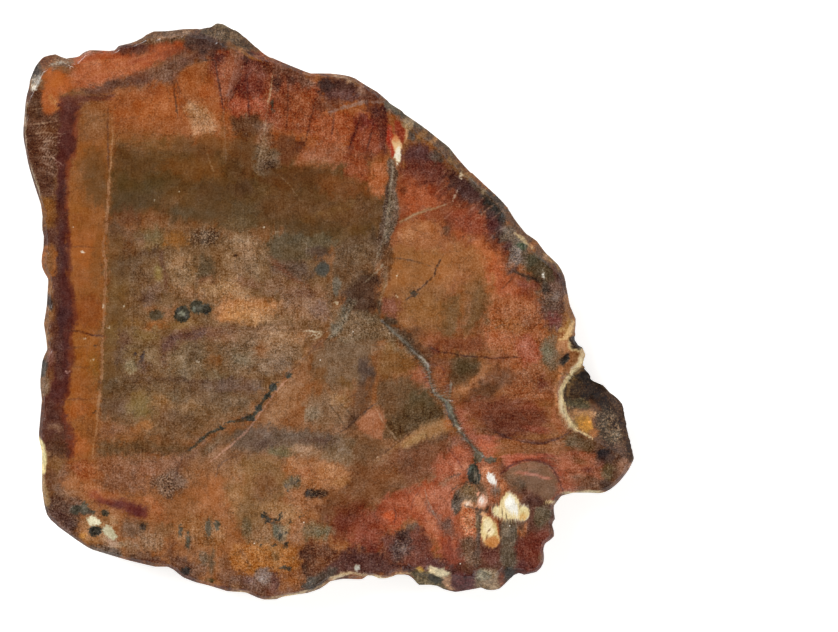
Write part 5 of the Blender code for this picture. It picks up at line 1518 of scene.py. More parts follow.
def node_sections(heights):
    """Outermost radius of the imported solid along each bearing, at each height in millimetres.

    Each triangle that a level plane crosses leaves a straight stretch. Where a ray from the
    middle crosses that stretch, its distance along the ray is the radius, and the largest wins.
    """
    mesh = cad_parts[NODE].data
    places = np.empty(len(mesh.vertices) * 3, np.float32)
    mesh.vertices.foreach_get("co", places)
    corners = np.empty(len(mesh.polygons) * 3, np.int32)
    mesh.polygons.foreach_get("vertices", corners)
    triangles = places.reshape(-1, 3)[corners].reshape(-1, 3, 3).astype(float) / MM
    ray = rays(bearings())[:, None, :]
    rows = []
    for height in heights:
        begin, end = triangles, np.roll(triangles, -1, axis=1)
        over, under = begin[..., 2] - height, end[..., 2] - height
        crossed = over * under < 0
        both = crossed.sum(axis=1) == 2
        share = over / np.where(crossed, over - under, 1)
        cuts = (begin + share[..., None] * (end - begin))[..., :2]
        stretch = cuts[both][crossed[both]].reshape(-1, 2, 2)
        first, last = stretch[None, :, 0], stretch[None, :, 1]
        side_first = ray[..., 0] * first[..., 1] - ray[..., 1] * first[..., 0]
        side_last = ray[..., 0] * last[..., 1] - ray[..., 1] * last[..., 0]
        hit = side_first * side_last <= 0
        apart = side_first - side_last
        share = side_first / np.where(hit & (apart != 0), apart, 1)
        radius = ((first + share[..., None] * (last - first)) * ray).sum(axis=2)
        rows.append(np.where(hit, radius, 0).max(axis=1))
    return np.array(rows)


def softened(ring, reach):
    """A closed row of values, averaged with a bell curve of reach steps by damping its waves."""
    waves = np.fft.rfft(ring)
    damping = np.exp(-0.5 * (np.arange(len(waves)) * 2 * math.pi * reach / len(ring)) ** 2)
    return np.fft.irfft(waves * damping, len(ring))


def disc_grid():
    """A square grid bent into a disc: each point's ring and its place on the edge, and the quads.

    The larger of the two coordinates of a grid point is its radius, and their ratio runs evenly
    across a quarter of the circle, so each square ring becomes an even round ring.
    """
    steps = np.arange(-FACE_STEPS, FACE_STEPS + 1)
    u, v = (side.ravel() for side in np.meshgrid(steps, steps, indexing="ij"))
    ring = np.maximum(np.abs(u), np.abs(v))
    safe = np.where(ring == 0, 1, ring)
    right, top, left = u == ring, v == ring, u == -ring
    place = np.select([right, top, left], [v, 2 * ring - u, 4 * ring - v], 6 * ring + u)
    place = (place + ring) % np.where(ring == 0, 1, 8 * ring) / safe * FACE_STEPS
    side = len(steps)
    corner = (np.arange(side - 1)[:, None] * side + np.arange(side - 1)).ravel()
    quads = np.column_stack([corner, corner + side, corner + side + 1, corner + 1])
    return ring, place, quads


def ring_radius(ring, reach):
    """Distance from the middle for a ring number: even steps inside, and short ones at the edge."""
    inner = FACE_STEPS - EDGE_STEPS
    edge = EDGE_STEPS * EDGE_STEP
    inside = ring / inner * (reach - edge)
    return np.where(ring < inner, inside, reach - (FACE_STEPS - ring) * EDGE_STEP)


def gap_to_edge(points, edge):
    """Distance from each point to the nearest point of the edge, and which one that is.

    The points are taken in slabs, to spare memory.
    """
    gap, which = np.empty(len(points)), np.empty(len(points), int)
    for start in range(0, len(points), 4000):
        part = slice(start, start + 4000)
        away = points[part, None, :] - edge[None, :, :]
        square = (away**2).sum(axis=2)
        which[part] = square.argmin(axis=1)
        gap[part] = np.sqrt(square.min(axis=1))
    return gap, which


def face_relief(points, gap, setback, sizes):
    """How far the surface lies under the polished level, and how much of it is rind.

    Outside the set-back line the surface falls evenly to the crest of the rim, with lumps. The
    broken corner falls away from its lip and has dishes in it. A pit is half an ellipsoid, and
    a groove half an ellipse across its line.
    """
    ragged = setback * (1 + 0.3 * grain(points, 0.9, 101) + 0.15 * grain(points, 0.35, 111))
    outward = np.clip(1 - gap / np.maximum(ragged, 0.05), 0, 1)
    fall = (sizes.arris_drop / MM + sizes.bark_slope * setback) * outward**0.8
    lumps = 0.55 * grain(points, 1.0, 121) + 0.45 * grain(points, 0.4, 131)
    drop = fall + sizes.lump_height / MM * lumps * np.sqrt(outward)
    broken = -area_gap(points + 0.12 * np.column_stack(
        [grain(points, 0.7, 141), grain(points, 0.7, 151)]), np.array(BROKEN_CORNER))
    inward = np.maximum(broken, 0)
    steep = smooth_step(*WALL_STEEPENS, points[:, 1])
    wall = 0.09 + 0.9 * (1 - np.exp(-inward / 0.35)) - 0.04 * inward
    wall = 0.03 + 0.2 * inward + steep * wall
    for x, y, wide, high, depth in DISHES:
        away = ((points[:, 0] - x) / wide) ** 2 + ((points[:, 1] - y) / high) ** 2
        wall += depth * np.sqrt(np.clip(1 - away, 0, 1)) * smooth_step(0, 0.4, inward)
    wall += 0.24 * lumps * smooth_step(0, 0.5, inward)
    drop = np.where(broken > 0, np.maximum(drop, wall), drop)
    rind = np.maximum(smooth_step(0, 0.12, outward * ragged), smooth_step(0, 0.1, broken))
    for x, y, wide in PITS:
        away = np.hypot(points[:, 0] - x, points[:, 1] - y) / wide
        away = away * (1 + 0.25 * lumps)
        drop += sizes.pit_flattening * wide * np.sqrt(np.clip(1 - away**2, 0, 1))
    for kind, _, _, depth, route in table_rows(PALE_LINES + DARK_LINES, 2, 0.01):
        if depth > 0:
            touched = near(points, kind, route, FAR)
            distance, _, half = line_field(points[touched], route)
            share = 1 - (distance / np.maximum(half, 0.02)) ** 2
            drop[touched] += depth * np.sqrt(np.clip(share, 0, 1)) * (1 + 0.4 * lumps[touched])
    return drop, rind, lumps


def rim_points(edge, edge_height, radii, heights, sizes):
    """Rows of points down the rim, from just under its crest to the sawn back.

    A row's height is a share of the crest's. Its radius is read from the sections at that
    height, but leans in no faster than UNDERCUT allows. Flutes that run through the thickness,
    small lumps and a few open cracks are taken off along the ray, least next to the crest and
    the back. Also given back are how proud each point stands and each row's share.
    """
    share = (np.arange(1, RIM_ROWS + 1) / RIM_ROWS) ** 1.05
    height = edge_height[None, :] * (1 - share[:, None])
    row = np.clip(np.interp(height, heights, np.arange(len(heights))), 0, len(heights) - 1.001)
    low = row.astype(int)
    part = row - low
    column = np.arange(EDGE_POINTS)[None, :]
    radius = radii[low, column] * (1 - part) + radii[low + 1, column] * part
    crest = np.hypot(edge[:, 0], edge[:, 1])[None, :]
    radius = np.clip(radius, crest - UNDERCUT * (edge_height[None, :] - height), crest + 0.1)
    ray = rays(bearings())
    place = ray[None, :, :] * radius[..., None]
    solid = np.dstack([place, height]).reshape(-1, 3)
    flutes = grain(solid * (1, 1, 0.12), 0.9, 201) * 0.5
    flutes += grain(solid * (1, 1, 0.2), 0.35, 211) * 0.3
    lumps = grain(solid, 0.8, 221) * 0.5 + grain(solid, 0.3, 231) * 0.25
    cracks = np.abs(grain(solid * (1, 1, 0.15), 2.6, 241))
    down = np.repeat(share, EDGE_POINTS)
    carving = np.clip(0.5 - flutes - lumps, 0, 1.4)
    carving += 1.1 * smooth_step(0.08, 0.35, down) * (1 - smooth_step(0.0, 0.05, cracks))
    bounds = smooth_step(0, 0.12, down) * smooth_step(0, 0.06, 1 - down)
    carving = (carving * bounds).reshape(RIM_ROWS, EDGE_POINTS)
    radius = radius - sizes.rim_carving / MM * carving
    place = np.dstack([ray[None, :, :] * radius[..., None], height])
    return place, 0.45 - carving, share


def back_rings(edge):
    """Rings from the back's edge to its middle, halving their points, and the faces that close it.

    A ring of half as many points takes every other bearing of the one outside it, and each of
    its stretches is joined to the two outside by three triangles. The last ring closes on one
    middle point.
    """
    rings, quads, triangles = [edge], [], []
    scales = (0.985, 0.95, 0.9, 0.82, 0.7, 0.56, 0.42, 0.28)
    start = 0
    for scale in scales:
        outer = rings[-1]
        count = len(outer)
        halves = count > 32
        inner = edge[:: EDGE_POINTS // (count // 2 if halves else count)] * (scale, scale, 1)
        size = len(inner)
        outside, inside = start + np.arange(count), start + count + np.arange(size)
        nxt = np.roll(inside, -1)
        if halves:
            even, odd, after = outside[::2], outside[1::2], np.roll(outside, -2)[::2]
            for corners in ((even, inside, odd), (odd, inside, nxt), (odd, nxt, after)):
                triangles.append(np.column_stack(corners))
        else:
            quads.append(np.column_stack([outside, inside, nxt, np.roll(outside, -1)]))
        rings.append(inner)
        start += count
    last = start + np.arange(len(rings[-1]))
    middle = start + len(rings[-1])
    triangles.append(np.column_stack([last, np.full(len(last), middle), np.roll(last, -1)]))
    rings.append(np.zeros((1, 3)))
    return np.vstack(rings), np.vstack(quads), np.vstack(triangles)


def face_disc(crest):
    """The face's points from above, their rings, the edge's points in order, and the quads.

    Inner rings follow the outline with its small waves damped, and the outer ones take on its
    ragged shape by a smooth step of the ring.
    """
    ring, place, quads = disc_grid()
    spots = np.arange(EDGE_POINTS + 1)
    calm = softened(crest, 14)
    crest_here = np.interp(place, spots, np.append(crest, crest[0]))
    calm_here = np.interp(place, spots, np.append(calm, calm[0]))
    ragged = smooth_step(0.55, 1, ring / FACE_STEPS)
    radius = ring_radius(ring, calm_here) + ragged * (crest_here - calm_here)
    outermost = np.flatnonzero(ring == FACE_STEPS)
    order = outermost[np.argsort(place[outermost])]
    return rays(bearings(place)) * radius[:, None], ring, order, quads


def paint(mesh, face, order, depth_share, relief):
    """Give the mesh the attributes that its finishes read, one value for each point.

    The face has its own minerals, the crest's go on down the rim, and the back has fillers. The
    minerals are read at two places a few tenths of a millimetre apart, and the finish picks one
    or the other grain by grain, so that neighbours grow into each other at their edges.
    """
    below = RIM_ROWS * EDGE_POINTS
    rest = len(depth_share) - len(face)

    def carried(values, filler):
        """Face values, then the crest's values repeated down the rim, then a filler on the back."""
        down = np.tile(values[order], (RIM_ROWS,) + (1,) * (values.ndim - 1))
        return np.concatenate([values, down, np.full((rest - below,) + values.shape[1:], filler)])

    def only_face(values, filler):
        """Face values, and a filler everywhere else."""
        return np.concatenate([values, np.full((rest,) + values.shape[1:], filler)])

    apart = np.column_stack([grain(face, 0.6, 311), grain(face, 0.6, 321)]) * NEIGHBOUR_REACH
    tone, grit = mineral_tones(face, apart)
    second_tone = mineral_tones(face, -apart)[0]
    chip_gap, chip_tone = chip_field(face)
    attributes = {
        "mineral": carried(tone, 0.4), "neighbour": carried(second_tone, 0.4),
        "grit": carried(grit, 0.5), "fibres": carried(fibre_shares(face), 0.3),
        "chip_gap": only_face(chip_gap, FAR), "chip_tone": only_face(chip_tone, 0.3),
        "rind_depth": depth_share, "relief": relief,
    }
    for kind, lines in (("pale", PALE_LINES), ("dark", DARK_LINES)):
        offset, half, strength, line_tone = thin_lines(face, lines)
        attributes[kind + "_offset"] = only_face(offset, FAR)
        attributes[kind + "_half"] = only_face(half, 0.0)
        attributes[kind + "_strength"] = only_face(strength, 0.0)
        attributes[kind + "_tone"] = only_face(line_tone, 0.3)
    for name, values in attributes.items():
        vector = values.ndim == 2
        attribute = mesh.attributes.new(name, "FLOAT_VECTOR" if vector else "FLOAT", "POINT")
        attribute.data.foreach_set("vector" if vector else "value", values.ravel())


def bake_map(mesh, points, quads, back_quads, back_triangles):
    """UV map: the face as seen from above, the rim as strips over it, and the back beside it."""
    from_above = points[:, :2] + UV_CORNER
    column = np.arange(EDGE_POINTS)[None, :, None] + np.array([0, 0, 1, 1])[None, None, :]
    line = np.arange(RIM_ROWS)[:, None, None] + np.array([0, 1, 1, 0])[None, None, :]
    strip = np.arange(EDGE_POINTS) * RIM_STRIPS // EDGE_POINTS
    strip = np.minimum(strip, RIM_STRIPS - 1)[None, :, None]
    begin = np.ceil(strip * EDGE_POINTS / RIM_STRIPS)
    across = RIM_UV_SPAN[0] * (column - begin) / (EDGE_POINTS / RIM_STRIPS + 1)
    down = RIM_UV_SPAN[1] * (strip + RIM_UV_FILL * line / RIM_ROWS)
    rim = np.stack(np.broadcast_arrays(RIM_UV_START[0] + across, RIM_UV_START[1] + down), axis=-1)
    back = from_above * BACK_UV + BACK_UV_PLACE
    uv = np.concatenate([part.reshape(-1, 2) for part in (
        (from_above * FACE_UV)[quads], rim, back[back_quads], back[back_triangles])])
    mesh.uv_layers.new(name="OFBake").data.foreach_set("uv", uv.ravel())


def slice_mesh(sizes):
    """The whole slice as one closed surface, with its attributes and its own UV map.

    The face's height is the thickness less its relief. The rim's first row is the face's edge,
    and its last row, at height nothing, is the back's edge.
    """
    thickness = sizes.thickness / MM
    heights = np.concatenate([np.linspace(0.02, 0.6, 8), np.linspace(0.8, thickness - 0.06, 22)])
    radii = node_sections(heights)
    crest = radii.max(axis=0)
    setback = softened(np.clip(crest - radii[-1], *SETBACK), 2)
    from_lobe = np.abs((bearings() - BROKEN_BEARING + math.pi) % (2 * math.pi) - math.pi)
    setback = np.where(from_lobe < BROKEN_SPREAD, BROKEN_SETBACK, setback)
    edge = rays(bearings()) * crest[:, None]

    # The distance to the edge only matters in the outer quarter; 9 mm stands for any inside it.
    face, ring, order, quads = face_disc(crest)
    gap, which = np.full(len(face), 9.0), np.zeros(len(face), int)
    outer = np.flatnonzero(ring > 0.75 * FACE_STEPS)
    gap[outer], which[outer] = gap_to_edge(face[outer], edge)
    drop, rind, lumps = face_relief(face, gap, setback[which], sizes)
    face_height = thickness - np.maximum(drop, 0)
    rim, rim_relief, share = rim_points(edge, face_height[order], radii, heights, sizes)
    rim[-1, :, 2] = 0
    back, back_quads, back_triangles = back_rings(rim[-1])

    # Points: the face, the rim's rows, and the back without its first ring, the rim's last row.
    points = np.vstack([
        np.column_stack([face, face_height]), rim.reshape(-1, 3), back[EDGE_POINTS:]])
    first_rim = len(face)
    rows = first_rim + np.arange(RIM_ROWS * EDGE_POINTS).reshape(RIM_ROWS, -1)
    rows = np.vstack([order[None, :], rows])
    upper, lower = rows[:-1], rows[1:]
    rim_quads = np.dstack([upper, lower, np.roll(lower, -1, axis=1), np.roll(upper, -1, axis=1)])
    rim_quads = rim_quads.reshape(-1, 4)
    first_back = first_rim + (RIM_ROWS - 1) * EDGE_POINTS
    back_quads, back_triangles = back_quads + first_back, back_triangles + first_back
    four_sided = np.vstack([quads, rim_quads, back_quads])

    mesh = bpy.data.meshes.new(NODE + "_stone")
    mesh.from_pydata((points * MM).tolist(), [], four_sided.tolist() + back_triangles.tolist())
    mesh.polygons.foreach_set("use_smooth", np.ones(len(mesh.polygons), bool))
    polished_or_rind = np.where(rind[quads].mean(axis=1) > 0.5, 1, 0)
    finish = np.concatenate([
        polished_or_rind, np.full(len(rim_quads), 1),
        np.full(len(back_quads) + len(back_triangles), 2)])
    mesh.polygons.foreach_set("material_index", finish)

    on_back = len(points) - first_rim - RIM_ROWS * EDGE_POINTS
    depth_share = np.concatenate([
        np.zeros(first_rim), np.repeat(share, EDGE_POINTS), np.ones(on_back)])
    # How proud each point stands, which the rind's finish turns into painted shade and light.
    relief = np.concatenate([lumps * rind * 0.8, rim_relief.ravel(), np.zeros(on_back)])
    paint(mesh, face, order, depth_share, relief)
    bake_map(mesh, points, quads, back_quads, back_triangles)
    mesh.validate()
    mesh.update()
    return mesh


def add(tree, kind, *values, named=None, out=None, **settings):
    """Add one node with its settings, and fill its shown sockets in order, or others by name.

    A value that is a socket is linked, and any other is set. The socket given back is the one
    called out, or else the first that the node shows.
    """
    node = tree.nodes.new(kind)
    for name, value in settings.items():
        setattr(node, name, value)
    shown = [socket for socket in node.inputs if socket.enabled]
    pairs = list(zip(shown, values)) + [(node.inputs[name], v) for name, v in (named or {}).items()]
    for socket, value in pairs:
        if isinstance(value, bpy.types.NodeSocket):
            tree.links.new(value, socket)
        elif value is not None:
            socket.default_value = value
    if out:
        return node.outputs[out]
    return next((socket for socket in node.outputs if socket.enabled), None)


QUARTZ_IOR = 1.54  # agate, jasper and silicified wood are all fine quartz


def new_material(name):
    """A node material with only its shader and output, ready for a finish."""
    material = bpy.data.materials.new(name)
    material.use_nodes = True
    tree = material.node_tree
    tree.nodes.clear()
    shader = tree.nodes.new("ShaderNodeBsdfPrincipled")
    add(tree, "ShaderNodeOutputMaterial", shader.outputs[0])
    return material, tree, shader


def colour4(rgb):
    """A colour with its fourth value, as the sockets take it."""
    return (*rgb, 1.0)


def tone4(rgb):
    """A linear colour as a tone, the square root of it, with a fourth value."""
    return colour4(np.sqrt(np.array(rgb)))


def speckle(tree, place, size, detail, roughness):
    """Noise with lumps of size millimetres."""
    return add(tree, "ShaderNodeTexNoise", place, 1 / (size * MM), detail, roughness, out="Fac")


def centred(tree, value, amount):
    """Noise made to swing by amount either side of nothing."""
    return add(tree, "ShaderNodeMapRange", value, 0.3, 0.7, -amount, amount, clamp=False)


def painted_minerals(tree, place, grit, grains, mottle):
    """Tone of the stone from its painted minerals, and the fibres' noise.

    Crystals and fibres pick one of the two readings of the minerals. Grains, mottling from
    0.9 mm down and fibres 0.15 mm across and 1.8 mm long are added to all three channels alike,
    the more the grittier the mineral, and a slow drift makes it warmer or cooler.
    """
    mineral = add(tree, "ShaderNodeAttribute", out="Color", attribute_name="mineral")
    neighbour = add(tree, "ShaderNodeAttribute", out="Color", attribute_name="neighbour")
    shares = add(tree, "ShaderNodeAttribute", out="Vector", attribute_name="fibres")
    fibres = []
    for turn in FIBRE_TURNS:
        laid = add(tree, "ShaderNodeMapping", place, (0, 0, 0), (0, 0, math.radians(turn)),
                   (0.15 * MM, 1.8 * MM, 1.0 * MM), vector_type="TEXTURE")
        fibres.append(add(tree, "ShaderNodeTexNoise", laid, 1.0, 3.0, 0.65, out="Fac"))
    woven = add(tree, "ShaderNodeCombineXYZ", *fibres)
    fibre = add(tree, "ShaderNodeVectorMath", woven, shares, out="Value", operation="DOT_PRODUCT")
    crystals = speckle(tree, place, 0.9, 5, 0.66)
    picked = add(tree, "ShaderNodeMath", fibre, 0.1, crystals, operation="MULTIPLY_ADD")
    picked = add(tree, "ShaderNodeMapRange", picked, 0.51, 0.59, 0.0, 1.0)
    mineral = add(tree, "ShaderNodeMix", picked, mineral, neighbour, data_type="RGBA")
    swings = [centred(tree, grains, 0.105), centred(tree, mottle, 0.07), centred(tree, fibre, 0.03)]
    total = add(tree, "ShaderNodeMath", swings[0], swings[1], operation="ADD")
    total = add(tree, "ShaderNodeMath", total, swings[2], operation="ADD")
    weight = add(tree, "ShaderNodeMapRange", grit, 0.15, 1.0, 0.0, 2.5)
    total = add(tree, "ShaderNodeMath", total, weight, operation="MULTIPLY")
    # The fixed part takes back the little grey light that the gloss adds.
    drift = centred(tree, speckle(tree, place, 1.7, 2, 0.5), 1.0)
    warmth = add(tree, "ShaderNodeVectorMath", drift, (0.014, 0.0, -0.01),
                 (-0.008, -0.017, -0.029), operation="MULTIPLY_ADD")
    toned = add(tree, "ShaderNodeVectorMath", mineral, warmth, operation="ADD")
    return add(tree, "ShaderNodeVectorMath", toned, total, operation="ADD"), fibre


def sprinkled(tree, place, toned, grit, colours):
    """The tone with dark specks and threads, pale quartz grains and rare painted highlights on it.

    A speck shows where a fine noise is over a level that falls with grit, a thread where a
    broad noise crosses its middle value, and a painted highlight, a near-white spot standing in
    for light off a crystal face, at one cell's middle in a hundred.
    broad noise crosses its middle value, and a glint at one cell's middle in a hundred.
    """
    rare = add(tree, "ShaderNodeMath", grit, -0.3, 0.82, operation="MULTIPLY_ADD")
    # The pale grains are read elsewhere in the noise, so that they don't follow the dark ones.
    moved = add(tree, "ShaderNodeVectorMath", place, (0.3, 0.7, 0.1))
    specks = []
    for where, size in ((place, 0.2), (moved, 0.18)):
        over = add(tree, "ShaderNodeMath", speckle(tree, where, size, 2, 0.5), rare,
                   operation="SUBTRACT")
        specks.append(add(tree, "ShaderNodeMapRange", over, 0.0, 0.05, 0.0, 0.6))
    dark, pale = specks
    broad = speckle(tree, place, 1.5, 4, 0.62)
    thread = add(tree, "ShaderNodeMath", broad, -0.5, operation="ADD")
    thread = add(tree, "ShaderNodeMath", thread, operation="ABSOLUTE")
    thread = add(tree, "ShaderNodeMapRange", thread, 0.0, 0.022, 0.7, 0.0)
    thread = add(tree, "ShaderNodeMath", thread, grit, operation="MULTIPLY")
    dark = add(tree, "ShaderNodeMath", dark, thread, operation="MAXIMUM")
    darker = add(tree, "ShaderNodeVectorMath", toned, named={"Scale": 0.5}, operation="SCALE")
    toned = add(tree, "ShaderNodeMix", dark, toned, darker, data_type="RGBA")
    pale = add(tree, "ShaderNodeMath", pale, grit, operation="MULTIPLY")
    quartz = tone4(colours.pale_grains)
    toned = add(tree, "ShaderNodeMix", pale, toned, quartz, data_type="RGBA")
    # Painted highlights: near-white spots at the middles of a few cells, for light off crystal faces.
    cells = add(tree, "ShaderNodeTexVoronoi", place, named={"Scale": 1 / (0.7 * MM)}).node
    close = add(tree, "ShaderNodeMapRange", cells.outputs["Distance"], 0.04, 0.11, 1.0, 0.0)
    picked = add(tree, "ShaderNodeSeparateColor", cells.outputs["Color"], out="Red")
    picked = add(tree, "ShaderNodeMath", picked, 0.99, operation="GREATER_THAN")
    painted_glint = add(tree, "ShaderNodeMath", close, picked, operation="MULTIPLY")
    return add(tree, "ShaderNodeMix", painted_glint, toned, tone4(colours.painted_glints), data_type="RGBA")


def crisp_marks(tree, place, toned, grains, mottle):
    """The tone with the pale lines, the chips and the dark lines over it, and their masks.

    A mark covers where its half width less its offset, or less its gap, is over a level. A fine
    noise makes its edge wander by a few hundredths of a millimetre, and mottling breaks a line.
    """
    wobble = speckle(tree, place, 0.22, 2, 0.5)
    broken = add(tree, "ShaderNodeMapRange", mottle, 0.4, 0.55, 0.55, 1.0)
    masks = {}
    for kind in ("pale", "chip", "dark"):
        laid = add(tree, "ShaderNodeAttribute", out="Color", attribute_name=kind + "_tone")
        if kind == "chip":
            gap = add(tree, "ShaderNodeAttribute", out="Fac", attribute_name="chip_gap")
            inside = add(tree, "ShaderNodeMath", gap, -1.0, operation="MULTIPLY")
            inside = add(tree, "ShaderNodeMath", wobble, 0.5, inside, operation="MULTIPLY_ADD")
            mask = add(tree, "ShaderNodeMapRange", inside, 0.16, 0.3, 0.0, 0.92)
        else:
            offset, half, strength = (
                add(tree, "ShaderNodeAttribute", out="Fac", attribute_name=kind + part)
                for part in ("_offset", "_half", "_strength"))
            distance = add(tree, "ShaderNodeMath", offset, operation="ABSOLUTE")
            inside = add(tree, "ShaderNodeMath", half, distance, operation="SUBTRACT")
            inside = add(tree, "ShaderNodeMath", wobble, 0.35, inside, operation="MULTIPLY_ADD")
            mask = add(tree, "ShaderNodeMapRange", inside, 0.12, 0.24, 0.0, 1.0)
            there = add(tree, "ShaderNodeMapRange", half, 0.0, 0.04, 0.0, 1.0)
            for share in (there, strength, broken):
                mask = add(tree, "ShaderNodeMath", mask, share, operation="MULTIPLY")
        own = add(tree, "ShaderNodeMath", centred(tree, grains, 0.09), centred(tree, mottle, 0.12),
                  operation="ADD")
        laid = add(tree, "ShaderNodeVectorMath", laid, own, operation="ADD")
        toned = add(tree, "ShaderNodeMix", mask, toned, laid, data_type="RGBA")
        masks[kind] = mask
    return toned, masks


def stone_colour(tree, place, colours):
    """Colour of the stone, mixed as a tone and then squared, and the noises and masks behind it.

    The minerals come first, then what is sprinkled over them, and then the crisp marks. Real
    grains of 0.05 mm are too fine to show, and are drawn 0.15 mm wide.
    """
    grit = add(tree, "ShaderNodeAttribute", out="Fac", attribute_name="grit")
    mottle = speckle(tree, place, 0.9, 5, 0.74)
    grains = speckle(tree, place, 0.15, 2, 0.9)
    toned, fibre = painted_minerals(tree, place, grit, grains, mottle)
    toned = sprinkled(tree, place, toned, grit, colours)
    toned, masks = crisp_marks(tree, place, toned, grains, mottle)
    return add(tree, "ShaderNodeGamma", toned, 2.0), mottle, fibre, masks


def raise_by(tree, shader, height, strength, depth):
    """Tilt a shader's surface as if height stood depth millimetres high, to a share strength."""
    bump = add(tree, "ShaderNodeBump",
               named={"Strength": strength, "Distance": depth * MM, "Height": height})
    tree.links.new(bump, shader.inputs["Normal"])


def polished_material(colours):
    """Agate and jasper, sawn with diamond and then polished.

    The eye gets deep, saturated colour under a clear, even gloss.
    """
    material, tree, shader = new_material("agate_and_jasper_sawn_and_polished")
    place = add(tree, "ShaderNodeTexCoord", out="Object")
    colour, mottle, fibre, masks = stone_colour(tree, place, colours)
    tree.links.new(colour, shader.inputs["Base Color"])
    # The gloss is clear on the quartz, and duller in the chalky pale lines and grains.
    roughness = add(tree, "ShaderNodeMapRange", mottle, 0.3, 0.7, 0.14, 0.3)
    roughness = add(tree, "ShaderNodeMath", masks["pale"], 0.25, roughness,
                    operation="MULTIPLY_ADD")
    tree.links.new(roughness, shader.inputs["Roughness"])
    shader.inputs["IOR"].default_value = QUARTZ_IOR
    # Harder fibres stand a few thousandths of a millimetre proud after polishing.
    height = add(tree, "ShaderNodeMath", fibre, 0.35, mottle, operation="MULTIPLY_ADD")
    height = add(tree, "ShaderNodeMath", masks["dark"], -0.5, height, operation="MULTIPLY_ADD")
    raise_by(tree, shader, height, 0.35, 0.03)
    return material


def rind_material(colours):
    """Silicified bark, split and weathered.

    The eye gets a matt, granular surface. Painted shade darkens it in the hollows, and painted
    light brightens it on the ridges.
    """
    material, tree, shader = new_material("silicified_bark_split_and_weathered")
    place = add(tree, "ShaderNodeTexCoord", out="Object")
    colour, mottle, _, _ = stone_colour(tree, place, colours)
    depth = add(tree, "ShaderNodeAttribute", out="Fac", attribute_name="rind_depth")
    relief = add(tree, "ShaderNodeAttribute", out="Fac", attribute_name="relief")
    # Down the rim the face's colours give way to bands of tan and dark bark, drawn out along
    # the fibres, which run through the thickness.
    drawn = add(tree, "ShaderNodeMapping", place, (0, 0, 0), (0, 0, 0),
                (1.1 * MM, 1.1 * MM, 5 * MM), vector_type="TEXTURE")
    bands = add(tree, "ShaderNodeTexNoise", drawn, 1.0, 4.0, 0.62, out="Fac")
    bands = add(tree, "ShaderNodeMapRange", bands, 0.36, 0.64, 0.0, 1.0)
    bark = add(tree, "ShaderNodeMix", bands, colour4(colours.dark_bark), colour4(colours.tan_bark),
               data_type="RGBA")
    grey = speckle(tree, place, 1.9, 3, 0.6)
    grey = add(tree, "ShaderNodeMapRange", grey, 0.54, 0.66, 0.0, 0.8)
    bark = add(tree, "ShaderNodeMix", grey, bark, colour4(colours.grey_bark), data_type="RGBA")
    share = add(tree, "ShaderNodeMapRange", depth, 0.0, 0.3, 0.0, 0.9)
    colour = add(tree, "ShaderNodeMix", share, colour, bark, data_type="RGBA")
    grain_value = speckle(tree, place, 0.28, 4, 0.7)
    shade = add(tree, "ShaderNodeMapRange", grain_value, 0.3, 0.7, 0.6, 1.4, clamp=False)
    # Painted shade in the hollows and flutes, and painted light where the relief stands proud.
    painted_hollow_shade = add(tree, "ShaderNodeMapRange", relief, -0.9, 0.5, 0.45, 1.3)
    shade = add(tree, "ShaderNodeMath", shade, painted_hollow_shade, operation="MULTIPLY")
    colour = add(tree, "ShaderNodeVectorMath", colour, named={"Scale": shade}, operation="SCALE")
    tree.links.new(colour, shader.inputs["Base Color"])
    roughness = add(tree, "ShaderNodeMapRange", grain_value, 0.3, 0.7, 0.55, 0.8)
    tree.links.new(roughness, shader.inputs["Roughness"])
    shader.inputs["IOR"].default_value = 1.52  # a little under quartz, for its open pores
    height = add(tree, "ShaderNodeMath", mottle, 0.8, grain_value, operation="MULTIPLY_ADD")
    raise_by(tree, shader, height, 0.7, 0.12)
    return material


def back_material(colours):
    """The same stone, sawn and left: to the eye chalky, with the faint arcs of a blade."""
    material, tree, shader = new_material("agate_and_jasper_sawn_back")
    place = add(tree, "ShaderNodeTexCoord", out="Object")
    blotch = speckle(tree, place, 6.0, 4, 0.6)
    patch = add(tree, "ShaderNodeMapRange", blotch, 0.38, 0.62, 0.0, 1.0)
    colour = add(tree, "ShaderNodeMix", patch, colour4(colours.back_brown),
                 colour4(colours.back_orange), data_type="RGBA")
    grey = speckle(tree, place, 3.1, 4, 0.6)
    grey = add(tree, "ShaderNodeMapRange", grey, 0.52, 0.6, 0.0, 0.75)
    colour = add(tree, "ShaderNodeMix", grey, colour, colour4(colours.grey_bark), data_type="RGBA")
    grain_value = speckle(tree, place, 0.35, 4, 0.65)
    shade = add(tree, "ShaderNodeMapRange", grain_value, 0.3, 0.7, 0.75, 1.25, clamp=False)
    # Blade marks: rings 0.55 mm apart round a blade's middle 150 mm away.
    away = add(tree, "ShaderNodeVectorMath", place, (-0.15, 0.03, 0.0), out="Value",
               operation="DISTANCE")
    turns = add(tree, "ShaderNodeMath", away, 2 * math.pi / (0.55 * MM), operation="MULTIPLY")
    marks = add(tree, "ShaderNodeMath", turns, operation="SINE")
    lit = add(tree, "ShaderNodeMath", marks, 0.05, shade, operation="MULTIPLY_ADD")
    colour = add(tree, "ShaderNodeVectorMath", colour, named={"Scale": lit}, operation="SCALE")
    tree.links.new(colour, shader.inputs["Base Color"])
    shader.inputs["Roughness"].default_value = 0.62
    shader.inputs["IOR"].default_value = QUARTZ_IOR
    height = add(tree, "ShaderNodeMath", marks, 0.4, grain_value, operation="MULTIPLY_ADD")
    raise_by(tree, shader, height, 0.5, 0.04)
    return material


def colour_prop(name, description, code):
    """A colour setting whose default is a hex colour turned linear."""
    return FloatVectorProperty(name=name, description=description, subtype="COLOR", size=3,
                               min=0, max=1, default=tuple(linear(code)))


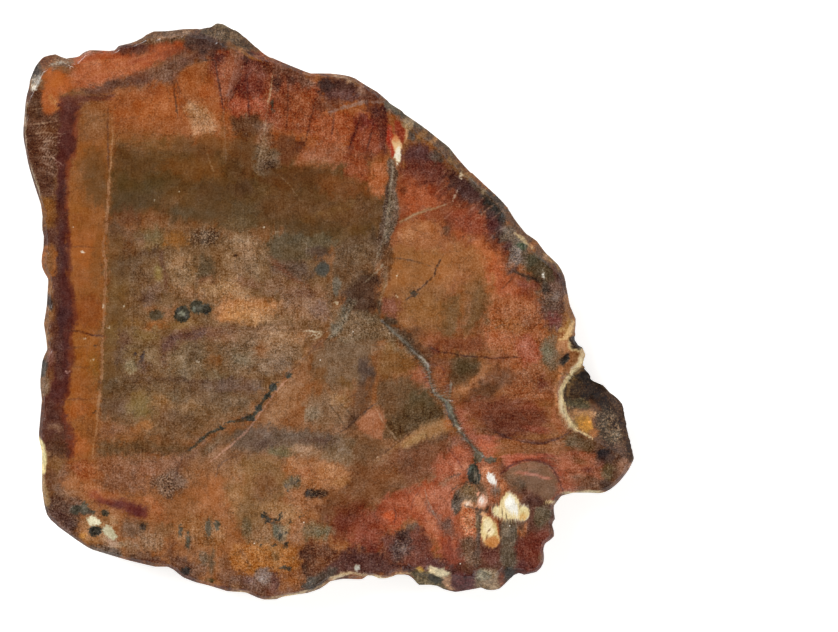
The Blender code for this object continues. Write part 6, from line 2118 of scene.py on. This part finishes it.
def length_prop(name, description, metres):
    """A length setting."""
    return FloatProperty(name=name, description=description, default=metres, unit="LENGTH",
                         precision=5)


def number_prop(name, description, default):
    """A plain number setting."""
    return FloatProperty(name=name, description=description, default=default)


class SliceSizes(bpy.types.PropertyGroup):
    """Sizes of the slice's own relief."""

    thickness: length_prop("Thickness", "From the sawn back to the polished face", CAD_BOX[1].z)
    arris_drop: length_prop("Arris drop", "Wear of even a clean edge under the face", 0.22 * MM)
    bark_slope: number_prop("Bark slope", "Fall of the bark for each millimetre of set-back", 0.75)
    lump_height: length_prop("Lump height", "Height of the lumps round the face", 0.14 * MM)
    rim_carving: length_prop("Rim carving", "Depth of the flutes down the rim", 0.2 * MM)
    pit_flattening: number_prop("Pit flattening", "Depth of a pit for its half width", 0.12)


class SliceColours(bpy.types.PropertyGroup):
    """Colours of the rind, the back, the stone's grains and its painted highlights."""

    pale_grains: colour_prop("Pale grains", "Milky quartz grains in the stone", "C09A78")
    # Colour of the painted highlights that stand in for light off crystal faces.
    painted_glints: colour_prop("Glints", "Bright crystal faces", "EFE4D2")
    tan_bark: colour_prop("Tan bark", "Light bands of the rind", "96744C")
    dark_bark: colour_prop("Dark bark", "Dark bands of the rind", "3A281E")
    grey_bark: colour_prop("Grey bark", "Clouded grey silica in the rind", "7C7264")
    back_brown: colour_prop("Brown of the back", "Sawn brown stone", "7A5A44")
    back_orange: colour_prop("Orange of the back", "Sawn orange stone", "A8744E")


class StageSettings(bpy.types.PropertyGroup):
    """The floor, the lights and the camera."""

    floor_colour: colour_prop("Floor", "The pale floor", "F4F4F2")
    floor_glow: number_prop("Floor glow", "Light that the floor adds to itself", 0.56)
    key_strength: number_prop("Key light", "Strength of the light from the upper left", 1.9)
    fill_strength: number_prop("Fill light", "Strength of the light from the lower right", 1.1)
    sky_strength: number_prop("Sky", "Strength of the even light all round", 0.3)
    mirrored_sky: number_prop("Mirrored sky", "Strength of the sky in the polish", 0.1)
    field_width: length_prop("Field width", "Width of the picture at the face", 71.23 * MM)
    aim_x: length_prop("Aim X", "Where the camera looks", 7.69 * MM)
    aim_y: length_prop("Aim Y", "Where the camera looks", -0.41 * MM)
    lens: number_prop("Lens", "Focal length in millimetres", 300)


def lay_floor(scene, stage):
    """A plain square floor, much wider than the slice."""
    floor_mesh = bpy.data.meshes.new("floor")
    side = 12.0
    corners = [(-side, -side, 0), (side, -side, 0), (side, side, 0), (-side, side, 0)]
    floor_mesh.from_pydata(corners, [], [(0, 1, 2, 3)])
    # Matt white acrylic sheet: it spreads the light evenly and shows a soft, pale shadow.
    material, _, shader = new_material("matt_white_acrylic_floor")
    shader.inputs["Base Color"].default_value = colour4(stage.floor_colour)
    shader.inputs["Roughness"].default_value = 0.8
    shader.inputs["Emission Color"].default_value = (1, 1, 1, 1)
    shader.inputs["Emission Strength"].default_value = stage.floor_glow
    floor_mesh.materials.append(material)
    floor = bpy.data.objects.new("floor", floor_mesh)
    scene.collection.objects.link(floor)


def hang_lights(scene, stage):
    """Two broad lights, each with the way towards it and its spread in degrees, and a soft sky."""
    for name, strength, spread, towards in (
            ("key_light", stage.key_strength, 30, (-0.6, 0.55, 1.0)),
            ("fill_light", stage.fill_strength, 60, (0.8, -0.5, 1.0))):
        light = bpy.data.lights.new(name, "SUN")
        light.energy = strength
        light.angle = math.radians(spread)
        lamp = bpy.data.objects.new(name, light)
        lamp.rotation_euler = Vector(towards).to_track_quat("Z", "Y").to_euler()
        scene.collection.objects.link(lamp)

    # The sky is white where the camera sees it, and dimmer where the polish mirrors it.
    world = bpy.data.worlds.new("soft_sky")
    world.use_nodes = True
    sky = world.node_tree
    sky.nodes.clear()
    seen = add(sky, "ShaderNodeLightPath", out="Is Camera Ray")
    mirrored = add(sky, "ShaderNodeLightPath", out="Is Glossy Ray")
    level = add(sky, "ShaderNodeMapRange", mirrored, 0.0, 1.0, stage.sky_strength,
                stage.mirrored_sky)
    level = add(sky, "ShaderNodeMath", seen, level, operation="MAXIMUM")
    light = add(sky, "ShaderNodeBackground", (1, 1, 1, 1), level)
    add(sky, "ShaderNodeOutputWorld", light)
    scene.world = world


def set_camera(scene, stage):
    """A long lens straight above, as high as its field at the face is wide over its angle."""
    lens = bpy.data.cameras.new("camera")
    lens.lens = stage.lens
    lens.sensor_width = 36
    lens.clip_start, lens.clip_end = 0.01, 100
    rise = stage.field_width * stage.lens / lens.sensor_width
    camera = bpy.data.objects.new("camera", lens)
    camera.location = (stage.aim_x, stage.aim_y, CAD_BOX[1].z + rise)
    scene.collection.objects.link(camera)
    scene.camera = camera


class SLICE_OT_stone(bpy.types.Operator):
    """Builds the slice and its three finishes"""

    bl_idname = "petrified_wood.stone"
    bl_label = "Build the slice"

    def execute(self, context):
        scene = context.scene
        mesh = slice_mesh(scene.slice_sizes)
        for finish in (polished_material, rind_material, back_material):
            mesh.materials.append(finish(scene.slice_colours))
        stone = bpy.data.objects.new("petrified_wood_stone", mesh)
        scene.collection.objects.link(stone)
        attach(stone, "root")
        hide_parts(NODE)
        return {"FINISHED"}


class SLICE_OT_stage(bpy.types.Operator):
    """Lays the floor, hangs the soft lights and sets the camera straight above"""

    bl_idname = "petrified_wood.stage"
    bl_label = "Set the stage"

    def execute(self, context):
        scene = context.scene
        scene.view_settings.view_transform = "Standard"
        for step in (lay_floor, hang_lights, set_camera):
            step(scene, scene.slice_stage)
        return {"FINISHED"}


class SLICE_PT_panel(bpy.types.Panel):
    """Lists the slice's operators and settings"""

    bl_label = "Petrified wood"
    bl_idname = "SLICE_PT_panel"
    bl_space_type = "VIEW_3D"
    bl_region_type = "UI"
    bl_category = "Petrified wood"

    def draw(self, context):
        layout = self.layout
        for operator in (SLICE_OT_stone, SLICE_OT_stage):
            layout.operator(operator.bl_idname)
        for name in ("slice_sizes", "slice_colours", "slice_stage"):
            group = getattr(context.scene, name)
            for key in group.bl_rna.properties.keys():
                if key not in ("rna_type", "name"):
                    layout.prop(group, key)


CLASSES = (SliceSizes, SliceColours, StageSettings, SLICE_OT_stone, SLICE_OT_stage, SLICE_PT_panel)


def register():
    for item in CLASSES:
        bpy.utils.register_class(item)
    bpy.types.Scene.slice_sizes = PointerProperty(type=SliceSizes)
    bpy.types.Scene.slice_colours = PointerProperty(type=SliceColours)
    bpy.types.Scene.slice_stage = PointerProperty(type=StageSettings)


def unregister():
    del bpy.types.Scene.slice_sizes
    del bpy.types.Scene.slice_colours
    del bpy.types.Scene.slice_stage
    for item in reversed(CLASSES):
        bpy.utils.unregister_class(item)


def main():
    register()
    bpy.ops.petrified_wood.stone()
    bpy.ops.petrified_wood.stage()


if __name__ == "__main__":
    main()
